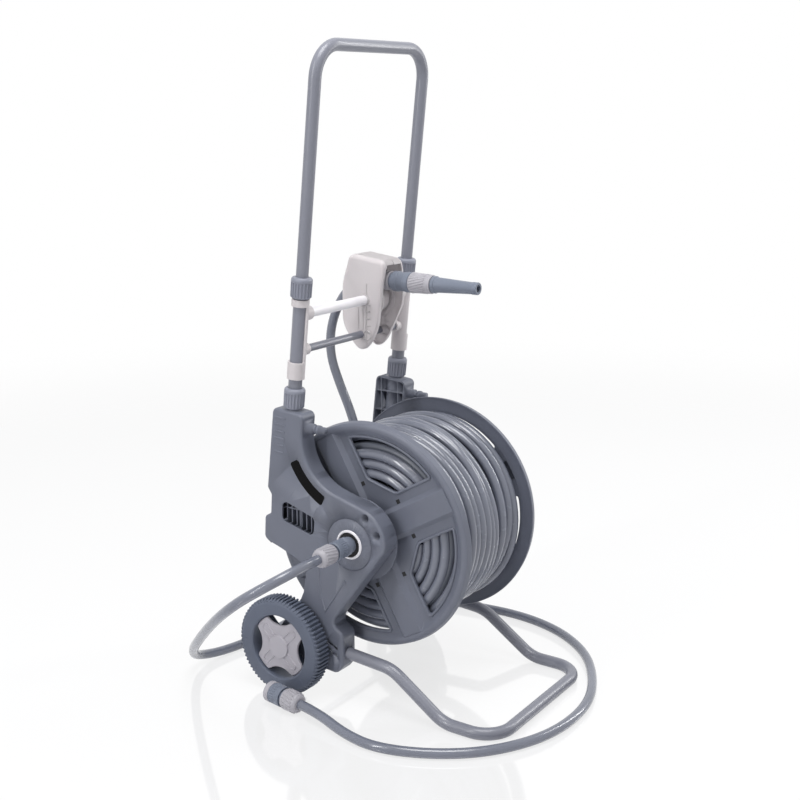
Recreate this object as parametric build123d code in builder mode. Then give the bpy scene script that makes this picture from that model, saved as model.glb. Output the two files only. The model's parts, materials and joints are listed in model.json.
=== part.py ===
from build123d import *
import math
import os

# A two-wheeled garden hose reel cart, in millimetres. +Z is up and the floor is at Z = 0.
# The reel turns about X. The foot bar lies at -Y, the wheels and the push handle at +Y,
# the water inlet is on the -X side and the folding crank on the +X side.

os.makedirs("parts", exist_ok=True)

# Overall layout
DEPTH = 434.0  # from the foot bar's front to the wheels' back
TRACK = 360.0  # over the wheels' outer faces
DRUM_HEIGHT = 251.0
DRUM_AHEAD = 111.0  # the drum's axis is this far ahead of the wheel axle
RUN_FIT = 0.05  # radial clearance of a turning fit
SLIDE_FIT = 0.1  # radial clearance of a sliding fit
FIXED_FIT = 0.05  # radial clearance of a piece that stays put in its hole
GAP = 0.4  # clearance between pieces that pass each other

# Wheels and axle
WHEEL_RADIUS = 76.0
WHEEL_WIDTH = 28.0
WHEEL_RING = 27.0  # radial depth of the tyre ring
WHEEL_SHOULDER = 7.0
TREAD_RIBS = 56
TREAD_WIDTH = 15.0
TREAD_DEPTH = 2.0
TREAD_GROOVE = 3.2
SPOKE_WIDTH = 22.0
SPOKE_START = 8.0  # the spokes and hub start this far inside the wheel's inner face
WHEEL_HUB_RADIUS = 15.0
CAP_THICK = 7.0
CAP_NOTCH = 25.0  # radius of the four hollows between the cap's lobes
CAP_WAIST = 36.0
CAP_BOSS = 20.0
CAP_RISE = 2.0  # the boss stands this far over the lobes
AXLE_RADIUS = 6.0
AXLE_SHY = 8.0  # the axle ends this far inside the wheel's outer face
CLIP_RADIUS = 11.0
CLIP_THICK = 1.5
CLIP_POCKET = 5.0

# Tubes and posts
TUBE_RADIUS = 9.0
TUBE_WALL = 1.2
POST_WALL = 1.0
POST_X = 133.0
POST_LEAN = 5.9  # degrees, the posts lean forward
POST_BACK = 128.0  # the post's axis behind the drum's axis, at the drum's height
POST_BOTTOM = 100.0  # distances along the post, from the drum's height
POST_TOP = 362.0
HANDLE_BOTTOM = 312.0
HANDLE_TOP = 698.0
HANDLE_BEND = 45.0
FOOT_SOCKET_Z = 74.0
FOOT_MOUTH = 14.0  # the foot socket's mouth behind the drum's axis
FOOT_INSERT = 44.0
FOOT_STEP = (-64.0, 68.5)  # where the foot tube turns down: behind the drum's axis, height
FOOT_LANDING = -152.0  # where it meets the floor, behind the drum's axis
FOOT_BENDS = (60.0, 55.0, 42.0)

# Side plates
PLATE_INNER = 118.0
PLATE_THICK = 30.0
PLATE_SKIN = 3.0
PLATE_WALL = 3.0
PLATE_EDGE = 4.0
PLATE_TOP = 183.0  # along the post
BLOCK_HALF = 28.0  # half the width of the block round the post
HUB_RADIUS = 61.0
HUB_BOSS = 30.0
HUB_GROOVES = (29.0, 38.0)  # ring lines on the hub's face
HUB_GROOVE = 1.2
HUB_GROOVE_DEPTH = 0.8
RIB_THICK = 2.0
RIB_PITCH = 32.0
RIB_COUNT = 15
SOCKET_WALL = 3.0
FOOT_SOCKET_WALL = 4.0
SEAT_DEPTH = 1.2  # recess of the label panels
LABEL_CENTRE = (-3.7, 158.5)
LABEL_RADII = (105.5, 122.0)
LABEL_ANGLES = (-64.0, -26.0)
LABEL_CORNER = 4.0
GRIP_WINDOW = ((122.0, 46.0), (62.0, 27.0), (65.0, -1.0), (123.0, 14.0))
GRIP_CORNER = 8.0
GRIP_DEPTH = 9.0  # the ribs behind the window stand this far below the plate's face
GRIP_RIBS = 7
GRIP_RIB_PITCH = 9.0
GRIP_RIB_LENGTH = 66.0
GRIP_MIDDLE = (93.0, 22.0)
AXLE_BOSS = 15.0
SLIT = (24.0, 4.0, 24.0)  # clamp slits by the foot socket: length, width, slope
SLIT_SPOTS = ((34.0, 14.0), (34.0, 2.0))  # behind the drum's axis, above the socket
PEG_ALONG = 158.0  # the peg's height along the post
PEG_ROOT = 4.0
PEG_STEPS = ((8.0, 12.0), (5.0, 6.0), (7.0, 5.0), (5.5, 10.0))  # radius and length
HUB_SCREW_ANGLES = (25.0, 58.0)
HUB_SCREW_CIRCLE = 52.5
HUB_WELL = 6.2
SCREW_RADIUS = 2.2
SCREW_HEAD = 4.2
SCREW_HEAD_THICK = 2.5
SCREW_WELL = 5.0
SCREW_WELL_DEPTH = 22.0
COVER_RADIUS = 62.0
COVER_THICK = 2.5
FOOT_SCREW = 22.0  # from the foot socket's mouth

# Twist-lock clamps
NECK_RADIUS = 12.4
NECK_HEIGHT = 11.0
NUT_RADIUS = 15.5
NUT_HEIGHT = 30.0
NUT_RIBS = 20
NUT_FLUTE = 1.3
NUT_SEAT = 3.0  # a lower nut starts this far above its block
UPPER_NUT = 349.0  # foot of an upper nut, along the post
FERRULE_HEIGHT = 12.0  # thread collar on top of a post
COLLET_HEIGHT = 10.0

# Hose guide
RAIL_UPPER = 324.7  # along the post
RAIL_LOWER = 271.0
RAIL_UPPER_RADIUS = 7.5
RAIL_LOWER_RADIUS = 5.75
BRACKET_RADIUS = 13.0
BRACKET_RING_LOW = (230.0, 255.0)
BRACKET_RING_TOP = (337.0, 347.0)
RAIL_BOSS = 3.0  # wall of the rail sockets
RAIL_BOSS_LENGTH = 8.0
RAIL_FLOOR = 0.5  # the rails end this far from the posts
CARRIAGE_X = 50.0
CARRIAGE_HALF = 26.0
SHELL_WALL = 2.5
SHELL_EDGE = 3.0
SHELL_CORNERS = ((-35.0, 66.0, 10.0), (28.0, 67.0, 24.0), (41.0, 0.0, 60.0), (29.0, -56.0, 30.0),
                 (6.0, -79.0, 16.0), (-16.0, -56.0, 26.0), (-29.0, -5.0, 60.0))  # from the upper rail
SHELL_MOUTH = (-66.0, 52.0)  # the open front, from and to this height over the upper rail
SHELL_MOUTH_DEPTH = 12.0
SHELL_BOSS = 3.5
SHELL_BACK_HOLE = (-10.0, 42.0)  # where the hose comes in, as heights over the upper rail
SHELL_BACK_HALF = 10.0
PULLEY_RADIUS = 27.0
PULLEY_GROOVE = 22.0
PULLEY_WIDTH = 34.0
PULLEY_GROOVE_WIDTH = 17.0
PULLEY_SLOPE = 3.0
SHELL_SCREW_SPOTS = ((-3.0, 46.0), (22.0, -40.0))
SHELL_SCREW_BOSS = 6.5
SHELL_SCREW_SINK = 4.0

# Reel
FLANGE_RADIUS = 170.0
FLANGE_LIP = 166.0
FLANGE_WALL = 3.0
RIM_DEPTH = 22.0
RIM_WIDTH = 10.0
RIM_LAP = 1.0
RIM_RING_THICK = 2.0
FLANGE_INNER = 91.0  # the web's hose side from the middle
FLANGE_HOLE = 14.0
ARMS = 4
ARM_START = 60.0  # degrees from straight back, upwards
ARM_WIDTH = 40.0
ARM_RISE = 12.0
ARM_INNER = 50.0
WINDOW_INNER = 86.0
WINDOW_OUTER = 146.0
WINDOW_SIDE = 40.0  # from the arm's middle line
WINDOW_CORNER = 6.0
BEAD = 2.5
BEAD_RISE = 1.5
CLIP_SLOT = 7.0
CLIP_SLOT_DEPTH = 1.5
CLIP_SLOT_RADIUS = 72.0
BARREL_RADIUS = 72.0
BARREL_WALL = 3.0
STUB_RADIUS = 18.0
STUB_PLATE = 34.0
STUB_PLATE_THICK = 5.0
STUB_END = 132.0
STUB_FLOOR = 3.0
STUB_SCREWS = 4
STUB_SCREW_CIRCLE = 26.0
BUSH_WALL = 2.0
BUSH_COLLAR = 3.5
BUSH_PROUD = 1.0

# Water way
SPIGOT_RADIUS = 9.0
SPIGOT_BORE = 5.5
SPIGOT_INNER = 100.0
SPIGOT_STEM = 8.6
SPIGOT_COLLAR_THICK = 2.5
SPIGOT_STEM_LENGTH = 31.0
SEAL_SECTION = 1.3
SEAL_WIDTH = 1.6
SEAL_SPOTS = (108.0, 122.0)  # from the middle
ELBOW_RADIUS = 8.0
ELBOW_WALL = 1.5
ELBOW_BEND = 30.0
ELBOW_RUN = 60.0  # along the drum's axis, from the stub to the bend's corner

# Quick connectors
INLET_MOUTH = 147.0  # the inlet connector's mouth from the middle
SLEEVE_RADIUS = 15.5
SLEEVE_CUTS = 20
SLEEVE_CUT = 1.0
SLEEVE_LENGTH = 31.0
BODY_RADIUS = 12.0
BODY_BORE = 8.75
BODY_BORE_DEPTH = 20.0
BODY_START = 1.0
BODY_END = 34.0
WATER_BORE = 5.0
THREAD_RADIUS = 10.5
CONNECTOR_NUT = 16.2
NUT_START = 35.5
NUT_END_WALL = 3.0
NUT_CUTS = 18
NUT_CUT = 1.4
INLET_NUT_LENGTH = 30.0
TAP_NUT_LENGTH = 28.0
NOZZLE_NUT_LENGTH = 7.5

# Crank
CRANK_THROW = 96.0
CRANK_ANGLE = 210.0
CRANK_X = 150.0
CRANK_THICK = 9.0
CRANK_HUB = 22.0
CRANK_SQUARE = 18.0
CRANK_WIDTH = 24.0
CRANK_CHEEK = 5.0
CRANK_EYE = 6.0
CRANK_KNUCKLE = 7.0
CRANK_PIN = 3.0
SPINDLE_RADIUS = 4.0
SPINDLE_LENGTH = 78.0
SPINDLE_HEAD = 6.5
SPINDLE_HEAD_THICK = 4.0
GRIP_RADIUS = 9.0
GRIP_START = 12.0
GRIP_WAIST = 1.0
GRIP_BAND = 6.0
CRANK_SCREW_HEAD = 14.0
CRANK_SCREW_LENGTH = 28.0

# Hose
HOSE_DIAMETER = 14.5
WINDING_RADIUS = 150.0
WINDING_GAP = 0.5
WINDING_SEAT = 0.1  # the turns lie this far over the plain core
WINDING_TURNS = 11
CORE_WALL = 17.0
CORE_END = 15.0
FEED_LEVEL = 106.0  # the hose leaves the pulley level, this far behind the drum's axis
FEED_ROUTE = ((141, 336), (165, 303.5), (179, 264), (179, 222), (162, 180), (142, 140), (135, 103),
              (144, 70))  # behind and above the drum's axis
LEADER_ROUTE = ((-287, 36, 246), (-313, 56, 232), (-325, 86, 211), (-318, 122, 183), (-292, 171, 144),
                (-250, 235, 90), (-216, 279, 52), (-189, 303, 26), (-158, 309.5, 12.5), (-119, 301, 7.6),
                (-40, 287, 7.6), (45, 288, 7.6), (125, 278, 7.6), (190, 242, 7.6), (236, 182, 7.6),
                (255, 116, 7.6), (264, 50, 7.6), (271, -10, 7.6), (262, -74, 7.6), (236, -134, 7.6),
                (188, -192, 7.6), (118, -236, 7.6), (46, -264, 7.6), (-30, -269, 7.6), (-100, -254, 7.6),
                (-168, -213, 7.6), (-215, -154, 7.6), (-243, -82, 7.6), (-236, -22, 8.6))
LEAD_IN = 37.0  # straight hose beside the inlet connector
TAP_LEAD_IN = 36.0
TAP_END = (-214.0, 73.0, 16.7)  # where the hose enters the tap connector
TAP_POINTS = (0.13, 0.99, 0.02)

# Nozzle
NOZZLE_MOUTH = 30.0  # the nozzle connector's mouth behind the drum's axis
COLLAR_LENGTH = 44.0
COLLAR_RADII = (16.0, 14.0)
COLLAR_RIBS = 24
COLLAR_FLUTE = 1.3
NOZZLE_TAIL = 19.0
NOZZLE_STEM = 7.0
NOZZLE_STEM_LENGTH = 26.0
NOZZLE_BORE = 4.0
CONE_LENGTH = 78.0
CONE_RADII = (11.8, 8.6)
CONE_RING = (13.0, 6.0)  # radius and width
CONE_BORE = 5.0

# Values that follow from the sizes above
AXLE_Y = DEPTH / 2 - WHEEL_RADIUS
DRUM_Y = AXLE_Y - DRUM_AHEAD
FOOT_BAR_Y = TUBE_RADIUS - DEPTH / 2
PLATE_OUTER = PLATE_INNER + PLATE_THICK
POST_RADIUS = TUBE_RADIUS + SLIDE_FIT + POST_WALL
HOSE_RADIUS = HOSE_DIAMETER / 2
TURN_RADIUS = WINDING_RADIUS - HOSE_RADIUS
TURN_PITCH = HOSE_DIAMETER + WINDING_GAP
CORE_RADIUS = TURN_RADIUS - HOSE_RADIUS - WINDING_SEAT
LEAN = math.radians(POST_LEAN)
AXLE_SPOT = (DRUM_AHEAD, WHEEL_RADIUS - DRUM_HEIGHT)
FOOT_W = FOOT_SOCKET_Z - DRUM_HEIGHT
BUSH_BORE = STUB_RADIUS + RUN_FIT
BUSH_RADIUS = BUSH_BORE + BUSH_WALL
FLANGE_FACE = FLANGE_INNER + FLANGE_WALL
RIM_FACE = FLANGE_INNER - RIM_LAP + RIM_DEPTH
RIM_INNER = FLANGE_LIP - RIM_WIDTH - FLANGE_WALL
WHEEL_INNER = TRACK / 2 - WHEEL_WIDTH
CAP_FACE = TRACK / 2 - CAP_THICK
CRANK_TURN = math.radians(180 - CRANK_ANGLE)
CRANK_FACE = CRANK_X + CRANK_THICK
HINGE_X = CRANK_FACE + GAP + GRIP_RADIUS
HINGE_DROP = HINGE_X - CRANK_X - CRANK_THICK / 2
SIDES = ((-1, "left"), (1, "right"))


def reel_plane(x, shift=(0.0, 0.0)):
    """Upright plane across X. Its axes run back and up from the drum's axis."""
    origin = (x, DRUM_Y + shift[0], DRUM_HEIGHT + shift[1])
    return Plane(origin=origin, x_dir=(0, 1, 0), z_dir=(1, 0, 0))


def post_plane(side, along):
    """Plane square to a post, at a distance along it from the drum's height."""
    origin = (side * POST_X, *post_spot(along))
    return Plane(origin=origin, x_dir=(1, 0, 0), z_dir=(0, -math.sin(LEAN), math.cos(LEAN)))


def post_spot(along):
    """Y and Z of the posts' axes at a distance along them."""
    return (DRUM_Y + POST_BACK - along * math.sin(LEAN), DRUM_HEIGHT + along * math.cos(LEAN))


def drum_relative(along):
    """The same point, measured back and up from the drum's axis."""
    y, z = post_spot(along)
    return (y - DRUM_Y, z - DRUM_HEIGHT)


def ahead(angle, radius):
    """A point of the reel at an angle from straight ahead, upwards, as back and up."""
    turn = math.radians(angle)
    return (-radius * math.cos(turn), radius * math.sin(turn))


def save(piece, name):
    """Labels a finished piece and writes it."""
    piece.label = name
    export_step(piece, f"parts/{name}.step")


def rod(plane, radius, length, mode=Mode.ADD):
    """A round bar that starts on a plane and follows its normal."""
    with BuildSketch(plane) as disc:
        Circle(radius)
    extrude(disc.sketch, amount=length, mode=mode)


def lathe(plane, points, radii=0.0, mode=Mode.ADD):
    """Turns a closed profile, given as distances along and from the axis, about a plane's normal."""
    profile = Plane(origin=plane.origin, x_dir=plane.z_dir, z_dir=plane.y_dir)
    with BuildSketch(profile) as section:
        with BuildLine():
            if radii:
                FilletPolyline(*points, radius=radii, close=True)
            else:
                Polyline(*points, close=True)
        make_face()
    revolve(section.sketch, axis=Axis(plane.origin, plane.z_dir), mode=mode)


def flutes(plane, radius, count, size, length):
    """Cuts round grooves along a turned piece."""
    with BuildSketch(plane) as grooves:
        with PolarLocations(radius, count):
            Circle(size)
    extrude(grooves.sketch, amount=length, mode=Mode.SUBTRACT)


# Side plates

def plate_outline(shrink=0.0, mode=Mode.ADD):
    """The side plate's outline in the current sketch, drawn in by a wall's thickness."""
    block = drum_relative(PLATE_TOP)
    front = (block[0] - BLOCK_HALF * math.cos(LEAN), block[1] - BLOCK_HALF * math.sin(LEAN))
    back = (block[0] + BLOCK_HALF * math.cos(LEAN), block[1] + BLOCK_HALF * math.sin(LEAN))
    axle_v, axle_w = AXLE_SPOT
    corners = [
        (*front, 8), (*back, 9), (back[0] + 14, 60, 6), (back[0] + 7, 50, 5), (back[0] + 9, 20, 5),
        (back[0] + 20, 14, 7), (back[0] + 22, -20, 10), (back[0], -34, 8), (86, -60, 10), (92, -104, 30),
        (axle_v + 24, axle_w + 16, 18), (axle_v + 16, axle_w - 25, 18), (FOOT_MOUTH + 12, FOOT_W - 31, 12),
        (FOOT_MOUTH, FOOT_W - 16, 6), (FOOT_MOUTH, FOOT_W + 34, 8), (36, -131, 12),
        (-HUB_RADIUS, 1, 14), (-HUB_RADIUS, 46, 50), (front[0] + 9, 87, 78),
    ]
    with BuildLine() as outline:
        FilletPolyline(*[c[:2] for c in corners], radius=[c[2] for c in corners], close=True)
    face = make_face(outline.edges(), mode=Mode.PRIVATE)
    if shrink:
        face = offset(face, amount=-shrink, mode=Mode.PRIVATE)
    add(face, mode=mode)


def label_shape(slack=0.0):
    """The curved label panel, which follows the plate's hollow front edge."""
    inner, outer = LABEL_RADII
    start, end = LABEL_ANGLES
    margin = math.degrees(2 * LABEL_CORNER / (inner + outer))
    radii = (inner + LABEL_CORNER, outer - LABEL_CORNER)
    with BuildLine() as outline:
        for radius in radii:
            CenterArc(LABEL_CENTRE, radius, start + margin, end - start - 2 * margin)
        for angle in (start + margin, end - margin):
            turn = math.radians(angle)
            Line(*[(LABEL_CENTRE[0] + radius * math.cos(turn), LABEL_CENTRE[1] + radius * math.sin(turn))
                   for radius in radii])
    make_face(outline.edges())
    offset(amount=LABEL_CORNER + slack)


def foot_direction():
    """The foot tube's direction out of its socket."""
    step_v, step_z = FOOT_STEP
    return Vector(0, step_v - FOOT_MOUTH, step_z - FOOT_SOCKET_Z).normalized()


def foot_socket_plane(side, inside):
    """Plane across the foot socket, a distance inside its mouth, facing out of it."""
    mouth = Vector(side * POST_X, DRUM_Y + FOOT_MOUTH, FOOT_SOCKET_Z)
    return Plane(origin=mouth - foot_direction() * inside, x_dir=(1, 0, 0), z_dir=foot_direction())


def foot_screw_plane(side):
    """Plane on the side plate's outer face, over the foot tube in its socket."""
    over = foot_socket_plane(side, FOOT_SCREW).origin
    return Plane(origin=(side * PLATE_OUTER, over.Y, over.Z), x_dir=(0, 1, 0), z_dir=(1, 0, 0))


def foot_screw_depth():
    return PLATE_OUTER - POST_X - TUBE_RADIUS + TUBE_WALL


def peg_plane(side, reach):
    """Plane across the accessory peg, which points forward from the plate's block."""
    y, z = post_spot(PEG_ALONG)
    origin = (side * POST_X, y - BLOCK_HALF - reach, z)
    return Plane(origin=origin, x_dir=(1, 0, 0), z_dir=(0, -1, 0))


def hub_screw_spots():
    return [ahead(angle, HUB_SCREW_CIRCLE) for angle in HUB_SCREW_ANGLES]


def side_plate(side):
    inner = reel_plane(side * PLATE_INNER)
    outer = reel_plane(side * PLATE_OUTER)
    full = side * PLATE_THICK
    rib_height = full - side * PLATE_SKIN / 2
    with BuildPart() as plate:
        with BuildSketch(inner):
            plate_outline()
        extrude(amount=full)
        skin = plate.faces().filter_by(Axis.X).sort_by(Axis.X)[0 if side < 0 else -1]
        fillet(skin.edges(), PLATE_EDGE)
        with BuildSketch(inner):
            plate_outline(PLATE_WALL)
        extrude(amount=full - side * PLATE_SKIN, mode=Mode.SUBTRACT)
        # Ribs, bosses and sockets inside the shell
        with BuildSketch(inner):
            with GridLocations(RIB_PITCH, RIB_PITCH, RIB_COUNT, 1):
                Rectangle(RIB_THICK, RIB_COUNT * RIB_PITCH)
            with GridLocations(RIB_PITCH, RIB_PITCH, 1, RIB_COUNT):
                Rectangle(RIB_COUNT * RIB_PITCH, RIB_THICK)
            with Locations(GRIP_MIDDLE):
                with GridLocations(GRIP_RIB_PITCH, GRIP_RIB_LENGTH, GRIP_RIBS, 1):
                    Rectangle(RIB_THICK, GRIP_RIB_LENGTH)
            Circle(HUB_BOSS)
            with Locations(AXLE_SPOT):
                Circle(AXLE_BOSS)
            with Locations(*hub_screw_spots()):
                Circle(HUB_WELL + SOCKET_WALL)
            plate_outline(PLATE_WALL / 2, Mode.INTERSECT)
        extrude(amount=rib_height)
        rod(post_plane(side, POST_BOTTOM - SOCKET_WALL), POST_RADIUS + SOCKET_WALL,
            PLATE_TOP - POST_BOTTOM + SOCKET_WALL)
        rod(post_plane(side, PLATE_TOP - PLATE_WALL), NECK_RADIUS, NECK_HEIGHT + PLATE_WALL)
        rod(foot_socket_plane(side, FOOT_INSERT + SOCKET_WALL), TUBE_RADIUS + FOOT_SOCKET_WALL,
            FOOT_INSERT + SOCKET_WALL - PLATE_WALL)
        reach = -PEG_ROOT
        for radius, length in PEG_STEPS:
            end = max(reach, 0) + length
            rod(peg_plane(side, reach), radius, end - reach)
            reach = end
        # Bores, windows and recesses
        rod(post_plane(side, POST_BOTTOM), POST_RADIUS + FIXED_FIT, PLATE_TOP, Mode.SUBTRACT)
        rod(foot_socket_plane(side, FOOT_INSERT), TUBE_RADIUS + FIXED_FIT, 2 * FOOT_INSERT, Mode.SUBTRACT)
        with BuildSketch(inner):
            Circle(BUSH_RADIUS + FIXED_FIT)
            with Locations(AXLE_SPOT):
                Circle(AXLE_RADIUS + FIXED_FIT)
            with Locations(*hub_screw_spots()):
                Circle(SCREW_RADIUS + FIXED_FIT)
        extrude(amount=full, mode=Mode.SUBTRACT)
        with BuildSketch(outer):
            with Locations(*hub_screw_spots()):
                Circle(HUB_WELL)
        extrude(amount=-side * SCREW_WELL_DEPTH, mode=Mode.SUBTRACT)
        with BuildSketch(outer):
            for radius in HUB_GROOVES:
                Circle(radius + HUB_GROOVE)
                Circle(radius, mode=Mode.SUBTRACT)
        extrude(amount=-side * HUB_GROOVE_DEPTH, mode=Mode.SUBTRACT)
        with BuildSketch(outer):
            with BuildLine():
                FilletPolyline(*GRIP_WINDOW, radius=GRIP_CORNER, close=True)
            make_face()
        extrude(amount=-side * GRIP_DEPTH, mode=Mode.SUBTRACT)
        with BuildSketch(outer):
            label_shape(FIXED_FIT)
        extrude(amount=-side * SEAT_DEPTH, mode=Mode.SUBTRACT)
        length, width, slope = SLIT
        with BuildSketch(outer):
            with Locations(*[(v, FOOT_W + w) for v, w in SLIT_SPOTS]):
                SlotOverall(length, width, rotation=slope)
        extrude(amount=-side * PLATE_SKIN, mode=Mode.SUBTRACT)
        rod(foot_screw_plane(side), SCREW_RADIUS + FIXED_FIT, -side * foot_screw_depth(), Mode.SUBTRACT)
    return plate.part


def label_panels():
    with BuildPart() as panels:
        for side, _ in SIDES:
            with BuildSketch(reel_plane(side * (PLATE_OUTER - SEAT_DEPTH))):
                label_shape()
            extrude(amount=side * SEAT_DEPTH)
    return panels.part


def hub_covers():
    """Discs on the plates' inner sides that hold the drum's bushes in their hubs."""
    with BuildPart() as covers:
        for side, _ in SIDES:
            with BuildSketch(reel_plane(side * PLATE_INNER)):
                Circle(COVER_RADIUS)
                Circle(BUSH_RADIUS + BUSH_COLLAR + FIXED_FIT, mode=Mode.SUBTRACT)
                with Locations(*hub_screw_spots()):
                    Circle(SCREW_RADIUS + FIXED_FIT, mode=Mode.SUBTRACT)
            extrude(amount=-side * COVER_THICK)
    return covers.part


def hub_screws():
    with BuildPart() as screws:
        for side, _ in SIDES:
            seat = side * (PLATE_OUTER - SCREW_WELL_DEPTH)
            for v, w in hub_screw_spots():
                rod(reel_plane(seat, (v, w)), SCREW_HEAD, side * SCREW_HEAD_THICK)
                rod(reel_plane(seat, (v, w)), SCREW_RADIUS, side * (PLATE_INNER - COVER_THICK) - seat)
    return screws.part


def drum_bush(side):
    collar = side * (PLATE_INNER - COVER_THICK)
    seat = side * PLATE_INNER
    end = side * (PLATE_OUTER + BUSH_PROUD)
    collar_radius = BUSH_RADIUS + BUSH_COLLAR
    with BuildPart() as bush:
        lathe(reel_plane(0), [(collar, BUSH_BORE), (collar, collar_radius), (seat, collar_radius),
                              (seat, BUSH_RADIUS), (end, BUSH_RADIUS), (end, BUSH_BORE)])
    return bush.part


# Tubes

def lower_post(side):
    with BuildPart() as post:
        with BuildSketch(post_plane(side, POST_BOTTOM)):
            Circle(POST_RADIUS)
            Circle(POST_RADIUS - POST_WALL, mode=Mode.SUBTRACT)
        extrude(amount=POST_TOP - POST_BOTTOM)
    return post.part


def sweep_tube(points, radii):
    """Sweeps the steel tube's ring through a list of corners."""
    with BuildLine() as path:
        FilletPolyline(*points, radius=radii)
    with BuildSketch(Plane(origin=path.wire() @ 0, z_dir=path.wire() % 0)) as ring:
        Circle(TUBE_RADIUS)
        Circle(TUBE_RADIUS - TUBE_WALL, mode=Mode.SUBTRACT)
    sweep(ring.sketch, path=path.wire())


def handle_tube():
    ends = ((-1, HANDLE_BOTTOM), (-1, HANDLE_TOP), (1, HANDLE_TOP), (1, HANDLE_BOTTOM))
    with BuildPart() as handle:
        sweep_tube([(side * POST_X, *post_spot(along)) for side, along in ends], HANDLE_BEND)
    return handle.part


def foot_tube():
    end = foot_socket_plane(-1, FOOT_INSERT).origin
    half = [(-POST_X, end.Y, end.Z), (-POST_X, DRUM_Y + FOOT_STEP[0], FOOT_STEP[1]),
            (-POST_X, DRUM_Y + FOOT_LANDING, TUBE_RADIUS), (-POST_X, FOOT_BAR_Y, TUBE_RADIUS)]
    corners = half + [(-x, y, z) for x, y, z in reversed(half)]
    with BuildPart() as foot:
        sweep_tube(corners, [*FOOT_BENDS, *reversed(FOOT_BENDS)])
        for side, _ in SIDES:
            rod(foot_screw_plane(side), SCREW_RADIUS + FIXED_FIT, -side * foot_screw_depth(), Mode.SUBTRACT)
    return foot.part


def foot_screws():
    """One screw a side, from the plate's outer face through its socket into the foot tube."""
    with BuildPart() as screws:
        for side, _ in SIDES:
            rod(foot_screw_plane(side), SCREW_HEAD, side * SCREW_HEAD_THICK)
            rod(foot_screw_plane(side), SCREW_RADIUS, -side * foot_screw_depth())
    return screws.part


# Twist-lock clamps

def clamp_nut(side, seat, thread_top, tube_radius):
    """Fluted nut over a thread. Its cavity holds a collet and its lip closes round a tube."""
    plane = post_plane(side, seat)
    cavity_top = thread_top - seat + COLLET_HEIGHT + GAP
    cavity = NECK_RADIUS + GAP
    lip = tube_radius + SLIDE_FIT
    with BuildPart() as nut:
        lathe(plane, [(0, cavity), (0, NUT_RADIUS), (NUT_HEIGHT - 2 * NUT_FLUTE, NUT_RADIUS),
                      (NUT_HEIGHT, NUT_RADIUS - NUT_FLUTE), (NUT_HEIGHT, lip), (cavity_top, lip),
                      (cavity_top, cavity)])
        flutes(plane, NUT_RADIUS + NUT_FLUTE / 2, NUT_RIBS, NUT_FLUTE, NUT_HEIGHT)
    return nut.part


def clamp_rings():
    """Thread collars on the post tops, and the collets in the four clamps."""
    rings = ((POST_TOP - FERRULE_HEIGHT, FERRULE_HEIGHT, POST_RADIUS + FIXED_FIT),
             (POST_TOP, COLLET_HEIGHT, TUBE_RADIUS + SLIDE_FIT),
             (PLATE_TOP + NECK_HEIGHT, COLLET_HEIGHT, POST_RADIUS + FIXED_FIT))
    with BuildPart() as pieces:
        for side, _ in SIDES:
            for along, height, bore in rings:
                with BuildSketch(post_plane(side, along)):
                    Circle(NECK_RADIUS)
                    Circle(bore, mode=Mode.SUBTRACT)
                extrude(amount=height)
    return pieces.part


# Hose guide

def rail_plane(x, along):
    """Plane across a guide rail."""
    return reel_plane(x, drum_relative(along))


def guide_bracket(side):
    low = BRACKET_RING_LOW[0]
    top = BRACKET_RING_TOP[1]
    bore_end = POST_X - POST_RADIUS - FIXED_FIT - RAIL_FLOOR
    boss_end = POST_X - BRACKET_RADIUS - RAIL_BOSS_LENGTH
    rails = ((RAIL_UPPER, RAIL_UPPER_RADIUS), (RAIL_LOWER, RAIL_LOWER_RADIUS))
    with BuildPart() as bracket:
        rod(post_plane(side, low), BRACKET_RADIUS, top - low)
        with BuildSketch(post_plane(side, BRACKET_RING_LOW[1])):
            with Locations((side * BRACKET_RADIUS, 0)):
                Rectangle(2 * BRACKET_RADIUS, 2 * BRACKET_RADIUS)
        extrude(amount=BRACKET_RING_TOP[0] - BRACKET_RING_LOW[1], mode=Mode.SUBTRACT)
        for along, radius in rails:
            rod(rail_plane(side * boss_end, along), radius + RAIL_BOSS, side * (POST_X - boss_end))
        rod(post_plane(side, low), POST_RADIUS + FIXED_FIT, top - low, Mode.SUBTRACT)
        for along, radius in rails:
            rod(rail_plane(side * boss_end, along), radius + FIXED_FIT, side * (bore_end - boss_end),
                Mode.SUBTRACT)
    return bracket.part


def guide_rail(along, radius):
    half = POST_X - POST_RADIUS - FIXED_FIT - RAIL_FLOOR
    with BuildPart() as rail:
        rod(rail_plane(-half, along), radius, 2 * half)
    return rail.part


def shell_outline(shrink=0.0):
    with BuildLine() as outline:
        FilletPolyline(*[c[:2] for c in SHELL_CORNERS], radius=[c[2] for c in SHELL_CORNERS], close=True)
    make_face(outline.edges())
    if shrink:
        offset(amount=-shrink)


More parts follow.
